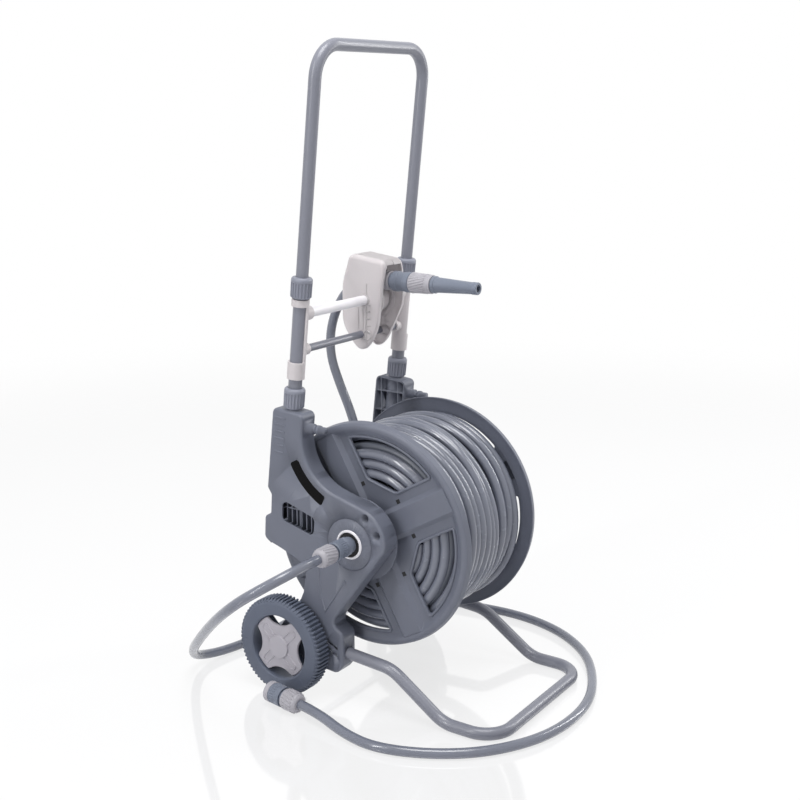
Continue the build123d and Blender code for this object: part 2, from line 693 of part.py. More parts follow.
def guide_shell(side):
    """Half of the hose guide's housing, which slides on both rails."""
    middle = rail_plane(CARRIAGE_X, RAIL_UPPER)
    face = rail_plane(CARRIAGE_X + side * CARRIAGE_HALF, RAIL_UPPER)
    half = side * CARRIAGE_HALF
    inside = half - side * SHELL_WALL
    mouth_low, mouth_top = SHELL_MOUTH
    hole_low, hole_top = SHELL_BACK_HOLE
    rear = max(corner[0] for corner in SHELL_CORNERS)
    lower = rail_plane(CARRIAGE_X, RAIL_LOWER)
    with BuildPart() as shell:
        with BuildSketch(middle):
            shell_outline()
        extrude(amount=half)
        skin = shell.faces().filter_by(Axis.X).sort_by(Axis.X)[0 if side < 0 else -1]
        fillet(skin.edges(), SHELL_EDGE)
        with BuildSketch(middle):
            shell_outline(SHELL_WALL)
        extrude(amount=inside, mode=Mode.SUBTRACT)
        front = Plane(origin=middle.origin, x_dir=(1, 0, 0), z_dir=(0, -1, 0))
        with BuildSketch(front.offset(SHELL_MOUTH_DEPTH)):
            with Locations((0, (mouth_low + mouth_top) / 2)):
                SlotOverall(mouth_top - mouth_low, 2 * abs(inside), rotation=90)
        extrude(amount=2 * CARRIAGE_HALF, mode=Mode.SUBTRACT)
        with BuildSketch(front.offset(-rear / 2)):
            with Locations((0, (hole_low + hole_top) / 2)):
                RectangleRounded(2 * SHELL_BACK_HALF, hole_top - hole_low, SHELL_WALL)
        extrude(amount=-rear, mode=Mode.SUBTRACT)
        pulley_side = side * (PULLEY_WIDTH / 2 + GAP)
        rod(rail_plane(CARRIAGE_X + pulley_side, RAIL_UPPER), RAIL_UPPER_RADIUS + SHELL_BOSS,
            inside - pulley_side + side * SHELL_WALL / 2)
        rod(lower, RAIL_LOWER_RADIUS + SHELL_BOSS, inside)
        with BuildSketch(middle):
            with Locations(*SHELL_SCREW_SPOTS):
                Circle(SHELL_SCREW_BOSS)
        extrude(amount=inside)
        rod(middle, RAIL_UPPER_RADIUS + SLIDE_FIT, half, Mode.SUBTRACT)
        rod(lower, RAIL_LOWER_RADIUS + SLIDE_FIT, half, Mode.SUBTRACT)
        with BuildSketch(middle):
            with Locations(*SHELL_SCREW_SPOTS):
                Circle(SCREW_RADIUS + FIXED_FIT)
        extrude(amount=half, mode=Mode.SUBTRACT)
        if side < 0:
            with BuildSketch(face):
                with Locations(*SHELL_SCREW_SPOTS):
                    Circle(SCREW_WELL)
            extrude(amount=SHELL_SCREW_SINK, mode=Mode.SUBTRACT)
    return shell.part


def shell_screws():
    rail_v, rail_w = drum_relative(RAIL_UPPER)
    seat = CARRIAGE_X - CARRIAGE_HALF + SHELL_SCREW_SINK
    with BuildPart() as screws:
        for v, w in SHELL_SCREW_SPOTS:
            spot = (rail_v + v, rail_w + w)
            rod(reel_plane(seat, spot), SCREW_HEAD, -SCREW_HEAD_THICK)
            rod(reel_plane(seat, spot), SCREW_RADIUS, 2 * CARRIAGE_HALF - SHELL_SCREW_SINK - SHELL_WALL)
    return screws.part


def guide_pulley():
    half = PULLEY_WIDTH / 2
    groove = PULLEY_GROOVE_WIDTH / 2
    bore = RAIL_UPPER_RADIUS + SLIDE_FIT
    with BuildPart() as pulley:
        lathe(rail_plane(CARRIAGE_X, RAIL_UPPER),
              [(-half, bore), (-half, PULLEY_RADIUS), (-groove - PULLEY_SLOPE, PULLEY_RADIUS),
               (-groove, PULLEY_GROOVE), (groove, PULLEY_GROOVE), (groove + PULLEY_SLOPE, PULLEY_RADIUS),
               (half, PULLEY_RADIUS), (half, bore)])
    return pulley.part


# Reel

def flange_windows(plane, height, grow=0.0, mode=Mode.ADD):
    """The four openings between the arms, as blocks from a plane."""
    with BuildSketch(plane) as windows:
        Circle(WINDOW_OUTER + grow)
        Circle(WINDOW_INNER - grow, mode=Mode.SUBTRACT)
        with PolarLocations(0, ARMS // 2, start_angle=ARM_START, angular_range=180):
            Rectangle(2 * FLANGE_RADIUS, 2 * (WINDOW_SIDE - grow), mode=Mode.SUBTRACT)
        fillet(windows.vertices(), WINDOW_CORNER + grow)
    extrude(windows.sketch, amount=height, mode=mode)


def stub_screw_spots():
    turns = [math.radians(ARM_START + 45 + 360 * k / STUB_SCREWS) for k in range(STUB_SCREWS)]
    return [(STUB_SCREW_CIRCLE * math.cos(turn), STUB_SCREW_CIRCLE * math.sin(turn)) for turn in turns]


def flange(side):
    web = reel_plane(side * FLANGE_INNER)
    face = reel_plane(side * FLANGE_FACE)
    lap = FLANGE_INNER - RIM_LAP
    slant = FLANGE_RADIUS - FLANGE_LIP
    wall = RIM_INNER + FLANGE_WALL
    floor = RIM_FACE - FLANGE_WALL
    lip = FLANGE_LIP - FLANGE_WALL
    profile = [(FLANGE_FACE, FLANGE_HOLE), (FLANGE_INNER, FLANGE_HOLE), (FLANGE_INNER, wall), (floor, wall),
               (floor, lip), (lap, lip + slant), (lap, FLANGE_RADIUS), (RIM_FACE, FLANGE_LIP),
               (RIM_FACE, RIM_INNER), (FLANGE_FACE, RIM_INNER)]
    arm_length = RIM_INNER + FLANGE_WALL / 2 - ARM_INNER
    arm_middle = ARM_INNER + arm_length / 2
    slot_side = ARM_WIDTH / 2 + CLIP_SLOT
    with BuildPart() as wheel:
        lathe(reel_plane(0), [(side * x, radius) for x, radius in profile])
        with BuildSketch(web):
            with PolarLocations(arm_middle, ARMS, start_angle=ARM_START):
                Rectangle(arm_length, ARM_WIDTH)
        extrude(amount=side * (FLANGE_WALL + ARM_RISE))
        flange_windows(face, side * BEAD_RISE, BEAD)
        with BuildSketch(web):
            with PolarLocations(arm_middle, ARMS, start_angle=ARM_START):
                Rectangle(arm_length - 2 * FLANGE_WALL, ARM_WIDTH - 2 * FLANGE_WALL)
        extrude(amount=side * ARM_RISE, mode=Mode.SUBTRACT)
        flange_windows(web, side * 2 * FLANGE_WALL, 0.0, Mode.SUBTRACT)
        with BuildSketch(face):
            with PolarLocations(0, ARMS, start_angle=ARM_START):
                with Locations((CLIP_SLOT_RADIUS, slot_side), (CLIP_SLOT_RADIUS, -slot_side)):
                    Rectangle(CLIP_SLOT, CLIP_SLOT)
        extrude(amount=-side * CLIP_SLOT_DEPTH, mode=Mode.SUBTRACT)
        with BuildSketch(web):
            with Locations(*stub_screw_spots()):
                Circle(SCREW_RADIUS + FIXED_FIT)
        extrude(amount=side * FLANGE_WALL, mode=Mode.SUBTRACT)
    return wheel.part


def rim_rings():
    """Flat rings that close the flanges' hollow rims on the hose side."""
    with BuildPart() as rings:
        for side, _ in SIDES:
            with BuildSketch(reel_plane(side * FLANGE_INNER)):
                Circle(FLANGE_LIP)
                Circle(RIM_INNER + FLANGE_WALL + FIXED_FIT, mode=Mode.SUBTRACT)
            extrude(amount=side * RIM_RING_THICK)
    return rings.part


def barrel():
    with BuildPart() as drum:
        with BuildSketch(reel_plane(-FLANGE_INNER)):
            Circle(BARREL_RADIUS)
            Circle(BARREL_RADIUS - BARREL_WALL, mode=Mode.SUBTRACT)
        extrude(amount=2 * FLANGE_INNER)
        rod(elbow_exit_plane(), ELBOW_RADIUS + FIXED_FIT, BARREL_RADIUS + BARREL_WALL, Mode.SUBTRACT)
    return drum.part


def elbow_exit_plane():
    """Plane at the water elbow's corner, facing up to the hole in the barrel."""
    origin = (ELBOW_RUN - FLANGE_FACE, DRUM_Y, DRUM_HEIGHT)
    return Plane(origin=origin, x_dir=(1, 0, 0), z_dir=(0, 0, 1))


def water_elbow():
    """Pipe inside the barrel, from the inlet's stub to the end of the wound hose."""
    corner = elbow_exit_plane().origin
    start = (-FLANGE_FACE, DRUM_Y, DRUM_HEIGHT)
    end = corner + Vector(0, 0, BARREL_RADIUS - BARREL_WALL / 2)
    with BuildPart() as elbow:
        with BuildLine() as path:
            FilletPolyline(start, corner, end, radius=ELBOW_BEND)
        with BuildSketch(Plane(origin=start, z_dir=(1, 0, 0))):
            Circle(ELBOW_RADIUS)
            Circle(ELBOW_RADIUS - ELBOW_WALL, mode=Mode.SUBTRACT)
        sweep(path=path.wire())
    return elbow.part


def drum_stub(side):
    """Journal of the drum. The left one is bored for water, the right one ends in the crank's square."""
    end = STUB_END if side < 0 else PLATE_OUTER
    plate_end = FLANGE_FACE + STUB_PLATE_THICK
    profile = [(FLANGE_FACE, 0), (FLANGE_FACE, STUB_PLATE), (plate_end, STUB_PLATE),
               (plate_end, STUB_RADIUS), (end, STUB_RADIUS), (end, 0)]
    with BuildPart() as stub:
        lathe(reel_plane(0), [(side * x, radius) for x, radius in profile])
        if side < 0:
            rod(reel_plane(-FLANGE_FACE), ELBOW_RADIUS - ELBOW_WALL, -end, Mode.SUBTRACT)
            rod(reel_plane(-FLANGE_FACE - STUB_FLOOR), SPIGOT_RADIUS + RUN_FIT, -end, Mode.SUBTRACT)
        else:
            with BuildSketch(crank_plane(end)):
                Rectangle(CRANK_SQUARE, CRANK_SQUARE)
            extrude(amount=CRANK_FACE - end)
            rod(reel_plane(CRANK_FACE), SCREW_RADIUS + FIXED_FIT, -CRANK_SCREW_LENGTH, Mode.SUBTRACT)
        with BuildSketch(reel_plane(side * FLANGE_FACE)):
            with Locations(*stub_screw_spots()):
                Circle(SCREW_RADIUS + FIXED_FIT)
        extrude(amount=side * STUB_PLATE_THICK, mode=Mode.SUBTRACT)
    return stub.part


def drum_screws():
    """Screws of both journals, and the one that holds the crank."""
    crank_face = reel_plane(CRANK_FACE)
    with BuildPart() as screws:
        for side, _ in SIDES:
            seat = side * (FLANGE_FACE + STUB_PLATE_THICK)
            for spot in stub_screw_spots():
                rod(reel_plane(seat, spot), SCREW_HEAD, side * SCREW_HEAD_THICK)
                rod(reel_plane(seat, spot), SCREW_RADIUS, -side * (STUB_PLATE_THICK + FLANGE_WALL))
        rod(crank_face, CRANK_SCREW_HEAD, SCREW_HEAD_THICK)
        rod(crank_face, SCREW_RADIUS, -CRANK_SCREW_LENGTH)
    return screws.part


# Crank

def crank_plane(x):
    """Plane across X whose first axis runs out along the crank's arm."""
    x_dir = (0, math.cos(CRANK_TURN), math.sin(CRANK_TURN))
    return Plane(origin=(x, DRUM_Y, DRUM_HEIGHT), x_dir=x_dir, z_dir=(1, 0, 0))


def hinge_plane(across):
    """Plane across the grip's hinge pin, a distance along the pin."""
    base = crank_plane(HINGE_X)
    origin = base.from_local_coords((CRANK_THROW, across, 0))
    return Plane(origin=origin, x_dir=base.x_dir, z_dir=base.y_dir)


def fold_plane(reach):
    """Plane across the folded grip, a distance from the hinge back along the arm."""
    base = crank_plane(HINGE_X)
    origin = base.from_local_coords((CRANK_THROW - reach, 0, 0))
    return Plane(origin=origin, x_dir=base.z_dir, z_dir=-base.x_dir)


def crank_arm():
    cheek_inner = CRANK_EYE + GAP
    with BuildPart() as arm:
        with BuildSketch(crank_plane(CRANK_X)):
            Circle(CRANK_HUB)
            with Locations((CRANK_THROW / 2, 0)):
                Rectangle(CRANK_THROW + 2 * CRANK_CHEEK, CRANK_WIDTH)
            Rectangle(CRANK_SQUARE + 2 * FIXED_FIT, CRANK_SQUARE + 2 * FIXED_FIT, mode=Mode.SUBTRACT)
        extrude(amount=CRANK_THICK)
        for across in (cheek_inner, -cheek_inner - CRANK_CHEEK):
            rod(hinge_plane(across), CRANK_KNUCKLE, CRANK_CHEEK)
            with BuildSketch(hinge_plane(across)):
                with Locations((0, HINGE_DROP / 2)):
                    Rectangle(2 * CRANK_KNUCKLE, HINGE_DROP)
            extrude(amount=CRANK_CHEEK)
        pin_half = cheek_inner + CRANK_CHEEK
        rod(hinge_plane(-pin_half), CRANK_PIN + FIXED_FIT, 2 * pin_half, Mode.SUBTRACT)
    return arm.part


def crank_pin():
    half = CRANK_EYE + GAP + CRANK_CHEEK
    with BuildPart() as pin:
        rod(hinge_plane(-half), CRANK_PIN, 2 * half)
    return pin.part


def crank_spindle():
    """Folding spindle: an eye on the hinge pin, and a headed bar for the grip."""
    with BuildPart() as spindle:
        rod(hinge_plane(-CRANK_EYE), CRANK_EYE, 2 * CRANK_EYE)
        rod(fold_plane(0), SPINDLE_RADIUS, SPINDLE_LENGTH)
        rod(fold_plane(SPINDLE_LENGTH - SPINDLE_HEAD_THICK), SPINDLE_HEAD, SPINDLE_HEAD_THICK)
        rod(hinge_plane(-CRANK_EYE), CRANK_PIN + RUN_FIT, 2 * CRANK_EYE, Mode.SUBTRACT)
    return spindle.part


def crank_grip():
    end = SPINDLE_LENGTH - SPINDLE_HEAD_THICK - GAP
    bore = SPINDLE_RADIUS + RUN_FIT
    waist = GRIP_RADIUS - GRIP_WAIST
    band = GRIP_START + GRIP_BAND
    with BuildPart() as grip:
        lathe(fold_plane(0), [(GRIP_START, bore), (GRIP_START, GRIP_RADIUS), (band, GRIP_RADIUS),
                              (band + GRIP_BAND, waist), (end - 2 * GRIP_BAND, waist),
                              (end - GRIP_BAND, GRIP_RADIUS), (end, GRIP_RADIUS), (end, bore)])
    return grip.part


# Wheels

def wheel(side):
    axle = reel_plane(0, AXLE_SPOT)
    inner_face = reel_plane(side * WHEEL_INNER, AXLE_SPOT)
    spoke_face = reel_plane(side * (WHEEL_INNER + SPOKE_START), AXLE_SPOT)
    pocket_face = reel_plane(side * CAP_FACE, AXLE_SPOT)
    spoke_depth = side * (CAP_FACE - WHEEL_INNER - SPOKE_START)
    ring = WHEEL_RADIUS - WHEEL_RING
    spoke_end = ring + WHEEL_SHOULDER
    outer = side * TRACK / 2
    with BuildPart() as tyre:
        lathe(axle, [(side * WHEEL_INNER, ring), (side * WHEEL_INNER, WHEEL_RADIUS), (outer, WHEEL_RADIUS),
                     (outer, ring)], [0, 0, WHEEL_SHOULDER, 0])
        with BuildSketch(inner_face):
            with PolarLocations(WHEEL_RADIUS, TREAD_RIBS):
                Rectangle(2 * TREAD_DEPTH, TREAD_GROOVE)
        extrude(amount=side * TREAD_WIDTH, mode=Mode.SUBTRACT)
        with BuildSketch(spoke_face):
            Circle(WHEEL_HUB_RADIUS)
            with PolarLocations(0, 2, start_angle=45, angular_range=180):
                Rectangle(2 * spoke_end, SPOKE_WIDTH)
        extrude(amount=spoke_depth)
        rod(spoke_face, AXLE_RADIUS + RUN_FIT, spoke_depth, Mode.SUBTRACT)
        rod(pocket_face, CLIP_RADIUS + GAP, -side * CLIP_POCKET, Mode.SUBTRACT)
    return tyre.part


def wheel_cap(side):
    """Light four-lobed cap that hides the axle's end."""
    face = reel_plane(side * CAP_FACE, AXLE_SPOT)
    rim = WHEEL_RADIUS - WHEEL_RING - GAP
    with BuildPart() as cap:
        with BuildSketch(face):
            Circle(rim)
            with PolarLocations(CAP_WAIST + CAP_NOTCH, 4):
                Circle(CAP_NOTCH, mode=Mode.SUBTRACT)
        extrude(amount=side * (CAP_THICK - CAP_RISE))
        rod(face, CAP_BOSS, side * CAP_THICK)
    return cap.part


def wheel_axle():
    half = TRACK / 2 - AXLE_SHY
    with BuildPart() as axle:
        rod(reel_plane(-half, AXLE_SPOT), AXLE_RADIUS, 2 * half)
    return axle.part


def axle_clips():
    seat = CAP_FACE - CLIP_POCKET + GAP
    with BuildPart() as clips:
        for side, _ in SIDES:
            with BuildSketch(reel_plane(side * seat, AXLE_SPOT)):
                Circle(CLIP_RADIUS)
                Circle(AXLE_RADIUS, mode=Mode.SUBTRACT)
            extrude(amount=side * CLIP_THICK)
    return clips.part


# Water inlet and quick connectors

def inlet_spigot():
    """Fixed tail in the left journal. Its collar is pressed into the bush."""
    collar = STUB_END + GAP
    collar_end = collar + SPIGOT_COLLAR_THICK
    end = collar_end + SPIGOT_STEM_LENGTH
    profile = [(SPIGOT_INNER, SPIGOT_BORE), (SPIGOT_INNER, SPIGOT_RADIUS), (collar, SPIGOT_RADIUS),
               (collar, BUSH_BORE), (collar_end, BUSH_BORE), (collar_end, SPIGOT_STEM), (end, SPIGOT_STEM),
               (end, SPIGOT_BORE)]
    with BuildPart() as spigot:
        lathe(reel_plane(0), [(-x, radius) for x, radius in profile])
        for spot in SEAL_SPOTS:
            with BuildSketch(reel_plane(-spot - SEAL_WIDTH / 2)):
                Circle(SPIGOT_RADIUS)
                Circle(SPIGOT_RADIUS - RUN_FIT - SEAL_SECTION, mode=Mode.SUBTRACT)
            extrude(amount=SEAL_WIDTH, mode=Mode.SUBTRACT)
    return spigot.part


def spigot_seals():
    with BuildPart() as seals:
        for spot in SEAL_SPOTS:
            profile = Plane(origin=(-spot, DRUM_Y, DRUM_HEIGHT), x_dir=(1, 0, 0), z_dir=(0, -1, 0))
            with BuildSketch(profile):
                with Locations((0, SPIGOT_RADIUS - RUN_FIT - SEAL_SECTION / 2)):
                    Circle(SEAL_SECTION / 2)
            revolve(axis=Axis(profile.origin, (1, 0, 0)))
    return seals.part


INLET = Plane(origin=(-INLET_MOUTH, DRUM_Y, DRUM_HEIGHT), x_dir=(0, 1, 0), z_dir=(-1, 0, 0))
TAP_WAY = Vector(*TAP_POINTS).normalized()
TAP_MOUTH = Vector(*TAP_END) + TAP_WAY * (NUT_START + TAP_NUT_LENGTH)
TAP = Plane(origin=TAP_MOUTH, x_dir=(0, 0, 1), z_dir=-TAP_WAY)
HOSE_OVER_RAIL = PULLEY_GROOVE + GAP + HOSE_RADIUS
NOZZLE_HEIGHT = post_spot(RAIL_UPPER)[1] + HOSE_OVER_RAIL
NOZZLE = Plane(origin=(CARRIAGE_X, DRUM_Y + NOZZLE_MOUTH, NOZZLE_HEIGHT), x_dir=(1, 0, 0), z_dir=(0, 1, 0))


def connector_body(plane, nut_length):
    """Inner body of a quick connector, from its mouth to the thread under the nut."""
    end = NUT_START + nut_length - NUT_END_WALL
    with BuildPart() as body:
        lathe(plane, [(BODY_START, BODY_BORE), (BODY_START, BODY_RADIUS), (BODY_END, BODY_RADIUS),
                      (BODY_END, THREAD_RADIUS), (end, THREAD_RADIUS), (end, WATER_BORE),
                      (BODY_BORE_DEPTH, WATER_BORE), (BODY_BORE_DEPTH, BODY_BORE)])
    return body.part


def connector_nut(plane, nut_length):
    bore = THREAD_RADIUS + FIXED_FIT
    end = NUT_START + nut_length
    wall = end - NUT_END_WALL
    with BuildPart() as nut:
        lathe(plane, [(NUT_START, bore), (NUT_START, CONNECTOR_NUT), (end - NUT_CUT, CONNECTOR_NUT),
                      (end, CONNECTOR_NUT - NUT_CUT), (end, WATER_BORE), (wall, WATER_BORE), (wall, bore)])
        flutes(plane.offset(NUT_START), CONNECTOR_NUT + NUT_CUT / 2, NUT_CUTS, NUT_CUT, nut_length)
    return nut.part


def connector_sleeve(plane):
    """Collar that slides back towards the nut to let go of a spigot."""
    bore = BODY_RADIUS + SLIDE_FIT
    waist = SLEEVE_RADIUS - SLEEVE_CUT
    third = SLEEVE_LENGTH / 3
    with BuildPart() as sleeve:
        lathe(plane, [(0, bore), (0, SLEEVE_RADIUS), (third, SLEEVE_RADIUS), (third + SLEEVE_CUT, waist),
                      (2 * third, waist), (2 * third + SLEEVE_CUT, SLEEVE_RADIUS),
                      (SLEEVE_LENGTH, SLEEVE_RADIUS), (SLEEVE_LENGTH, bore)])
        flutes(plane, SLEEVE_RADIUS + SLEEVE_CUT / 2, SLEEVE_CUTS, SLEEVE_CUT, SLEEVE_LENGTH)
    return sleeve.part


# Nozzle

def nozzle_grip():
    """Ribbed collar with a tail for the connector and a stem for the cone."""
    wide, slim = COLLAR_RADII
    stem_end = -COLLAR_LENGTH - NOZZLE_STEM_LENGTH
    with BuildPart() as grip:
        lathe(NOZZLE, [(NOZZLE_TAIL, NOZZLE_BORE), (NOZZLE_TAIL, SPIGOT_STEM), (-GAP, SPIGOT_STEM),
                       (-GAP, wide), (-COLLAR_LENGTH, slim), (-COLLAR_LENGTH, NOZZLE_STEM),
                       (stem_end, NOZZLE_STEM), (stem_end, NOZZLE_BORE)])
        flutes(NOZZLE, wide + COLLAR_FLUTE / 2, COLLAR_RIBS, COLLAR_FLUTE, -0.8 * COLLAR_LENGTH)
    return grip.part


def nozzle_cone():
    """Twisting spray cone on the collar's stem."""
    wide, slim = CONE_RADII
    ring, ring_width = CONE_RING
    start = -COLLAR_LENGTH - GAP
    end = start - CONE_LENGTH
    seat = start - NOZZLE_STEM_LENGTH
    with BuildPart() as cone:
        lathe(NOZZLE, [(start, NOZZLE_STEM + RUN_FIT), (start, ring), (start - ring_width, ring),
                       (start - ring_width, wide), (end, slim), (end, CONE_BORE), (seat, CONE_BORE),
                       (seat, NOZZLE_STEM + RUN_FIT)])
    return cone.part


# Hose

def bend_radii(points):
    """The largest arc at each corner of a free hose that its two runs allow."""
    radii = []
    for before, corner, after in zip(points, points[1:], points[2:]):
        first = Vector(*corner) - Vector(*before)
        second = Vector(*after) - Vector(*corner)
        turn = math.radians(first.get_angle(second))
        radii.append(0.45 * min(first.length, second.length) / math.tan(turn / 2))
    return radii


def report_tube(name, solid, length):
    section = math.pi * HOSE_RADIUS ** 2
    share = solid.volume / (section * length)
    print(f"{name}: length {length:.0f} mm, volume {share:.5f} of section times length")


def hose_along(name, points):
    """A plain hose through hand-set points: straight runs joined by tangent arcs."""
    radii = bend_radii(points)
    print(name, "bend radii:", " ".join(f"{radius:.0f}" for radius in radii))
    with BuildPart() as hose:
        with BuildLine() as path:
            FilletPolyline(*points, radius=radii)
        with BuildSketch(Plane(origin=path.wire() @ 0, z_dir=path.wire() % 0)):
            Circle(HOSE_RADIUS)
        sweep(path=path.wire())
    report_tube(name, hose.part, path.wire().length)
    return hose.part


def leader_points():
    nut_end = NUT_START + INLET_NUT_LENGTH
    start = INLET.from_local_coords((0, 0, nut_end))
    bend = INLET.from_local_coords((0, 0, nut_end + LEAD_IN))
    last_bend = Vector(*TAP_END) - TAP_WAY * TAP_LEAD_IN
    return [tuple(start), tuple(bend), *LEADER_ROUTE, tuple(last_bend), TAP_END]


def feed_points():
    start = NOZZLE.from_local_coords((0, 0, NUT_START + NOZZLE_NUT_LENGTH))
    level = (CARRIAGE_X, DRUM_Y + FEED_LEVEL, NOZZLE_HEIGHT)
    return [tuple(start), level] + [(CARRIAGE_X, DRUM_Y + v, DRUM_HEIGHT + w) for v, w in FEED_ROUTE]


def least_gap(wire):
    """Smallest clearance between turns of a wound hose, measured on points along it."""
    count = int(wire.length / HOSE_RADIUS)
    spots = [tuple(wire @ (k / count)) for k in range(count + 1)]
    apart = int(math.pi * TURN_RADIUS / HOSE_RADIUS)
    nearest = min(math.dist(spots[j], spots[k]) for j in range(count) for k in range(j + apart, count + 1))
    return nearest - HOSE_DIAMETER


def hose_winding():
    """The outer layer of the wound hose: one tube on half turns, each a half pitch further along X."""
    rise = math.hypot(TURN_RADIUS, TURN_PITCH / 4)
    first = -WINDING_TURNS * TURN_PITCH / 2
    back = DRUM_Y + TURN_RADIUS
    tail = HOSE_DIAMETER
    with BuildPart() as winding:
        with BuildLine() as path:
            Line((first, back, DRUM_HEIGHT - tail), (first, back, DRUM_HEIGHT))
            for k in range(2 * WINDING_TURNS):
                way = 1 if k % 2 == 0 else -1
                x = first + k * TURN_PITCH / 2
                start = (x, DRUM_Y + way * TURN_RADIUS, DRUM_HEIGHT)
                top = (x + TURN_PITCH / 4, DRUM_Y, DRUM_HEIGHT + way * rise)
                end = (x + TURN_PITCH / 2, DRUM_Y - way * TURN_RADIUS, DRUM_HEIGHT)
                ThreePointArc(start, top, end)
            Line((-first, back, DRUM_HEIGHT), (-first, back, DRUM_HEIGHT + tail))
        with BuildSketch(Plane(origin=path.wire() @ 0, z_dir=path.wire() % 0)):
            Circle(HOSE_RADIUS)
        sweep(path=path.wire())
    print(f"winding: least gap to itself {least_gap(path.wire()):.2f} mm")
    report_tube("winding", winding.part, path.wire().length)
    return winding.part


def hose_core():
    """The hidden inner layers of the wound hose, as one plain spool that weighs what they weigh."""
    cavity = FLANGE_INNER - CORE_END
    roof = CORE_RADIUS - CORE_WALL
    profile = [(-FLANGE_INNER, BARREL_RADIUS), (-FLANGE_INNER, CORE_RADIUS), (FLANGE_INNER, CORE_RADIUS),
               (FLANGE_INNER, BARREL_RADIUS), (cavity, BARREL_RADIUS), (cavity, roof), (-cavity, roof),
               (-cavity, BARREL_RADIUS)]
    with BuildPart() as core:
        lathe(reel_plane(0), profile)
    return core.part


# Every piece is written to its own file
for side, hand in SIDES:
    save(side_plate(side), f"side_plate_{hand}")
    save(drum_bush(side), f"drum_bush_{hand}")
    save(lower_post(side), f"lower_post_{hand}")
    save(clamp_nut(side, PLATE_TOP + NUT_SEAT, PLATE_TOP + NECK_HEIGHT, POST_RADIUS), f"lower_clamp_{hand}")
    save(clamp_nut(side, UPPER_NUT, POST_TOP, TUBE_RADIUS), f"upper_clamp_{hand}")
    save(guide_bracket(side), f"guide_bracket_{hand}")
    save(guide_shell(side), f"guide_shell_{hand}")
    save(flange(side), f"flange_{hand}")
    save(drum_stub(side), f"drum_stub_{hand}")
    save(wheel(side), f"wheel_{hand}")
    save(wheel_cap(side), f"wheel_cap_{hand}")

save(label_panels(), "label_panels")
save(hub_covers(), "hub_covers")
save(hub_screws(), "hub_screws")
save(handle_tube(), "handle_tube")
save(foot_tube(), "foot_tube")
save(foot_screws(), "foot_screws")
save(clamp_rings(), "clamp_rings")
save(guide_rail(RAIL_UPPER, RAIL_UPPER_RADIUS), "guide_rail_upper")
save(guide_rail(RAIL_LOWER, RAIL_LOWER_RADIUS), "guide_rail_lower")
save(shell_screws(), "shell_screws")
save(guide_pulley(), "guide_pulley")
save(rim_rings(), "rim_rings")
save(barrel(), "barrel")
save(water_elbow(), "water_elbow")
save(drum_screws(), "drum_screws")
save(crank_arm(), "crank_arm")
save(crank_pin(), "crank_pin")
save(crank_spindle(), "crank_spindle")
save(crank_grip(), "crank_grip")
save(wheel_axle(), "wheel_axle")
save(axle_clips(), "axle_clips")
save(inlet_spigot(), "inlet_spigot")
save(spigot_seals(), "spigot_seals")
for plane, nut_length, place in ((INLET, INLET_NUT_LENGTH, "inlet"), (TAP, TAP_NUT_LENGTH, "tap"),
                                 (NOZZLE, NOZZLE_NUT_LENGTH, "nozzle")):
    save(connector_body(plane, nut_length), f"{place}_body")
    save(connector_nut(plane, nut_length), f"{place}_nut")
    save(connector_sleeve(plane), f"{place}_sleeve")
save(nozzle_grip(), "nozzle_grip")
save(nozzle_cone(), "nozzle_cone")
save(hose_along("leader_hose", leader_points()), "leader_hose")
save(hose_along("feed_hose", feed_points()), "feed_hose")
save(hose_winding(), "hose_winding")
save(hose_core(), "hose_core")
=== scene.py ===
# %% [markdown]
# # A garden hose reel cart
# A tubular steel frame on two wheels carries a drum of half-inch hose, a telescopic handle, and a sliding
# guide that lays the hose on the drum. Its pieces come from a CAD model. This lesson gives each one a finish
# where it is, and builds anew what CAD does not draw well: the hoses and the winding, the drum's flanges,
# the ribbed nuts and connectors, the wheels and the hose guide.

# %% Load the cart
import json
from math import asin, cos, degrees, dist, hypot, pi, radians, sin, sqrt

import bmesh
import bpy
from mathutils import Matrix, Vector


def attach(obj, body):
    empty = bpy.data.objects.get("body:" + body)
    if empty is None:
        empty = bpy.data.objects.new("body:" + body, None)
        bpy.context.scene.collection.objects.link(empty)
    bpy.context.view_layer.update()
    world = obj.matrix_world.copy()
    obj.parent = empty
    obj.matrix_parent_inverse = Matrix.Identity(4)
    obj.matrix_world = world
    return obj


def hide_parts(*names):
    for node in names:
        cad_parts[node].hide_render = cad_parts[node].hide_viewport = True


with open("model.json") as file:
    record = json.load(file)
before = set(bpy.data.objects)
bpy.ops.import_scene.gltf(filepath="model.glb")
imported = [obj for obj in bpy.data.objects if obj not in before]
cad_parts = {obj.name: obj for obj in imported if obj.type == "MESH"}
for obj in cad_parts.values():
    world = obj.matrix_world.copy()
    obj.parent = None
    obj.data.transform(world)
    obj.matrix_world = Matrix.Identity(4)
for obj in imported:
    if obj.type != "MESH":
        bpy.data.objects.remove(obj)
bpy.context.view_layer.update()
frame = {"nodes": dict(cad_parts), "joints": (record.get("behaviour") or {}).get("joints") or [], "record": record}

nodes = frame["nodes"]
joints = {joint["name"]: joint for joint in frame["joints"]}
SIDES = ((-1.0, "left"), (1.0, "right"))

# %% [markdown]
# ## Camera
# The view comes first, because every later piece is judged through it. The camera was fitted to the
# cart's known points: the wheel's contact, the handle's corners and the drum's rim. It stands at the
# inlet side, a little above the drum, with a lens of about 57 mm.

# %% Camera
def placed(name, data):
    """A new object in the scene."""
    thing = bpy.data.objects.new(name, data)
    bpy.context.scene.collection.objects.link(thing)
    return thing


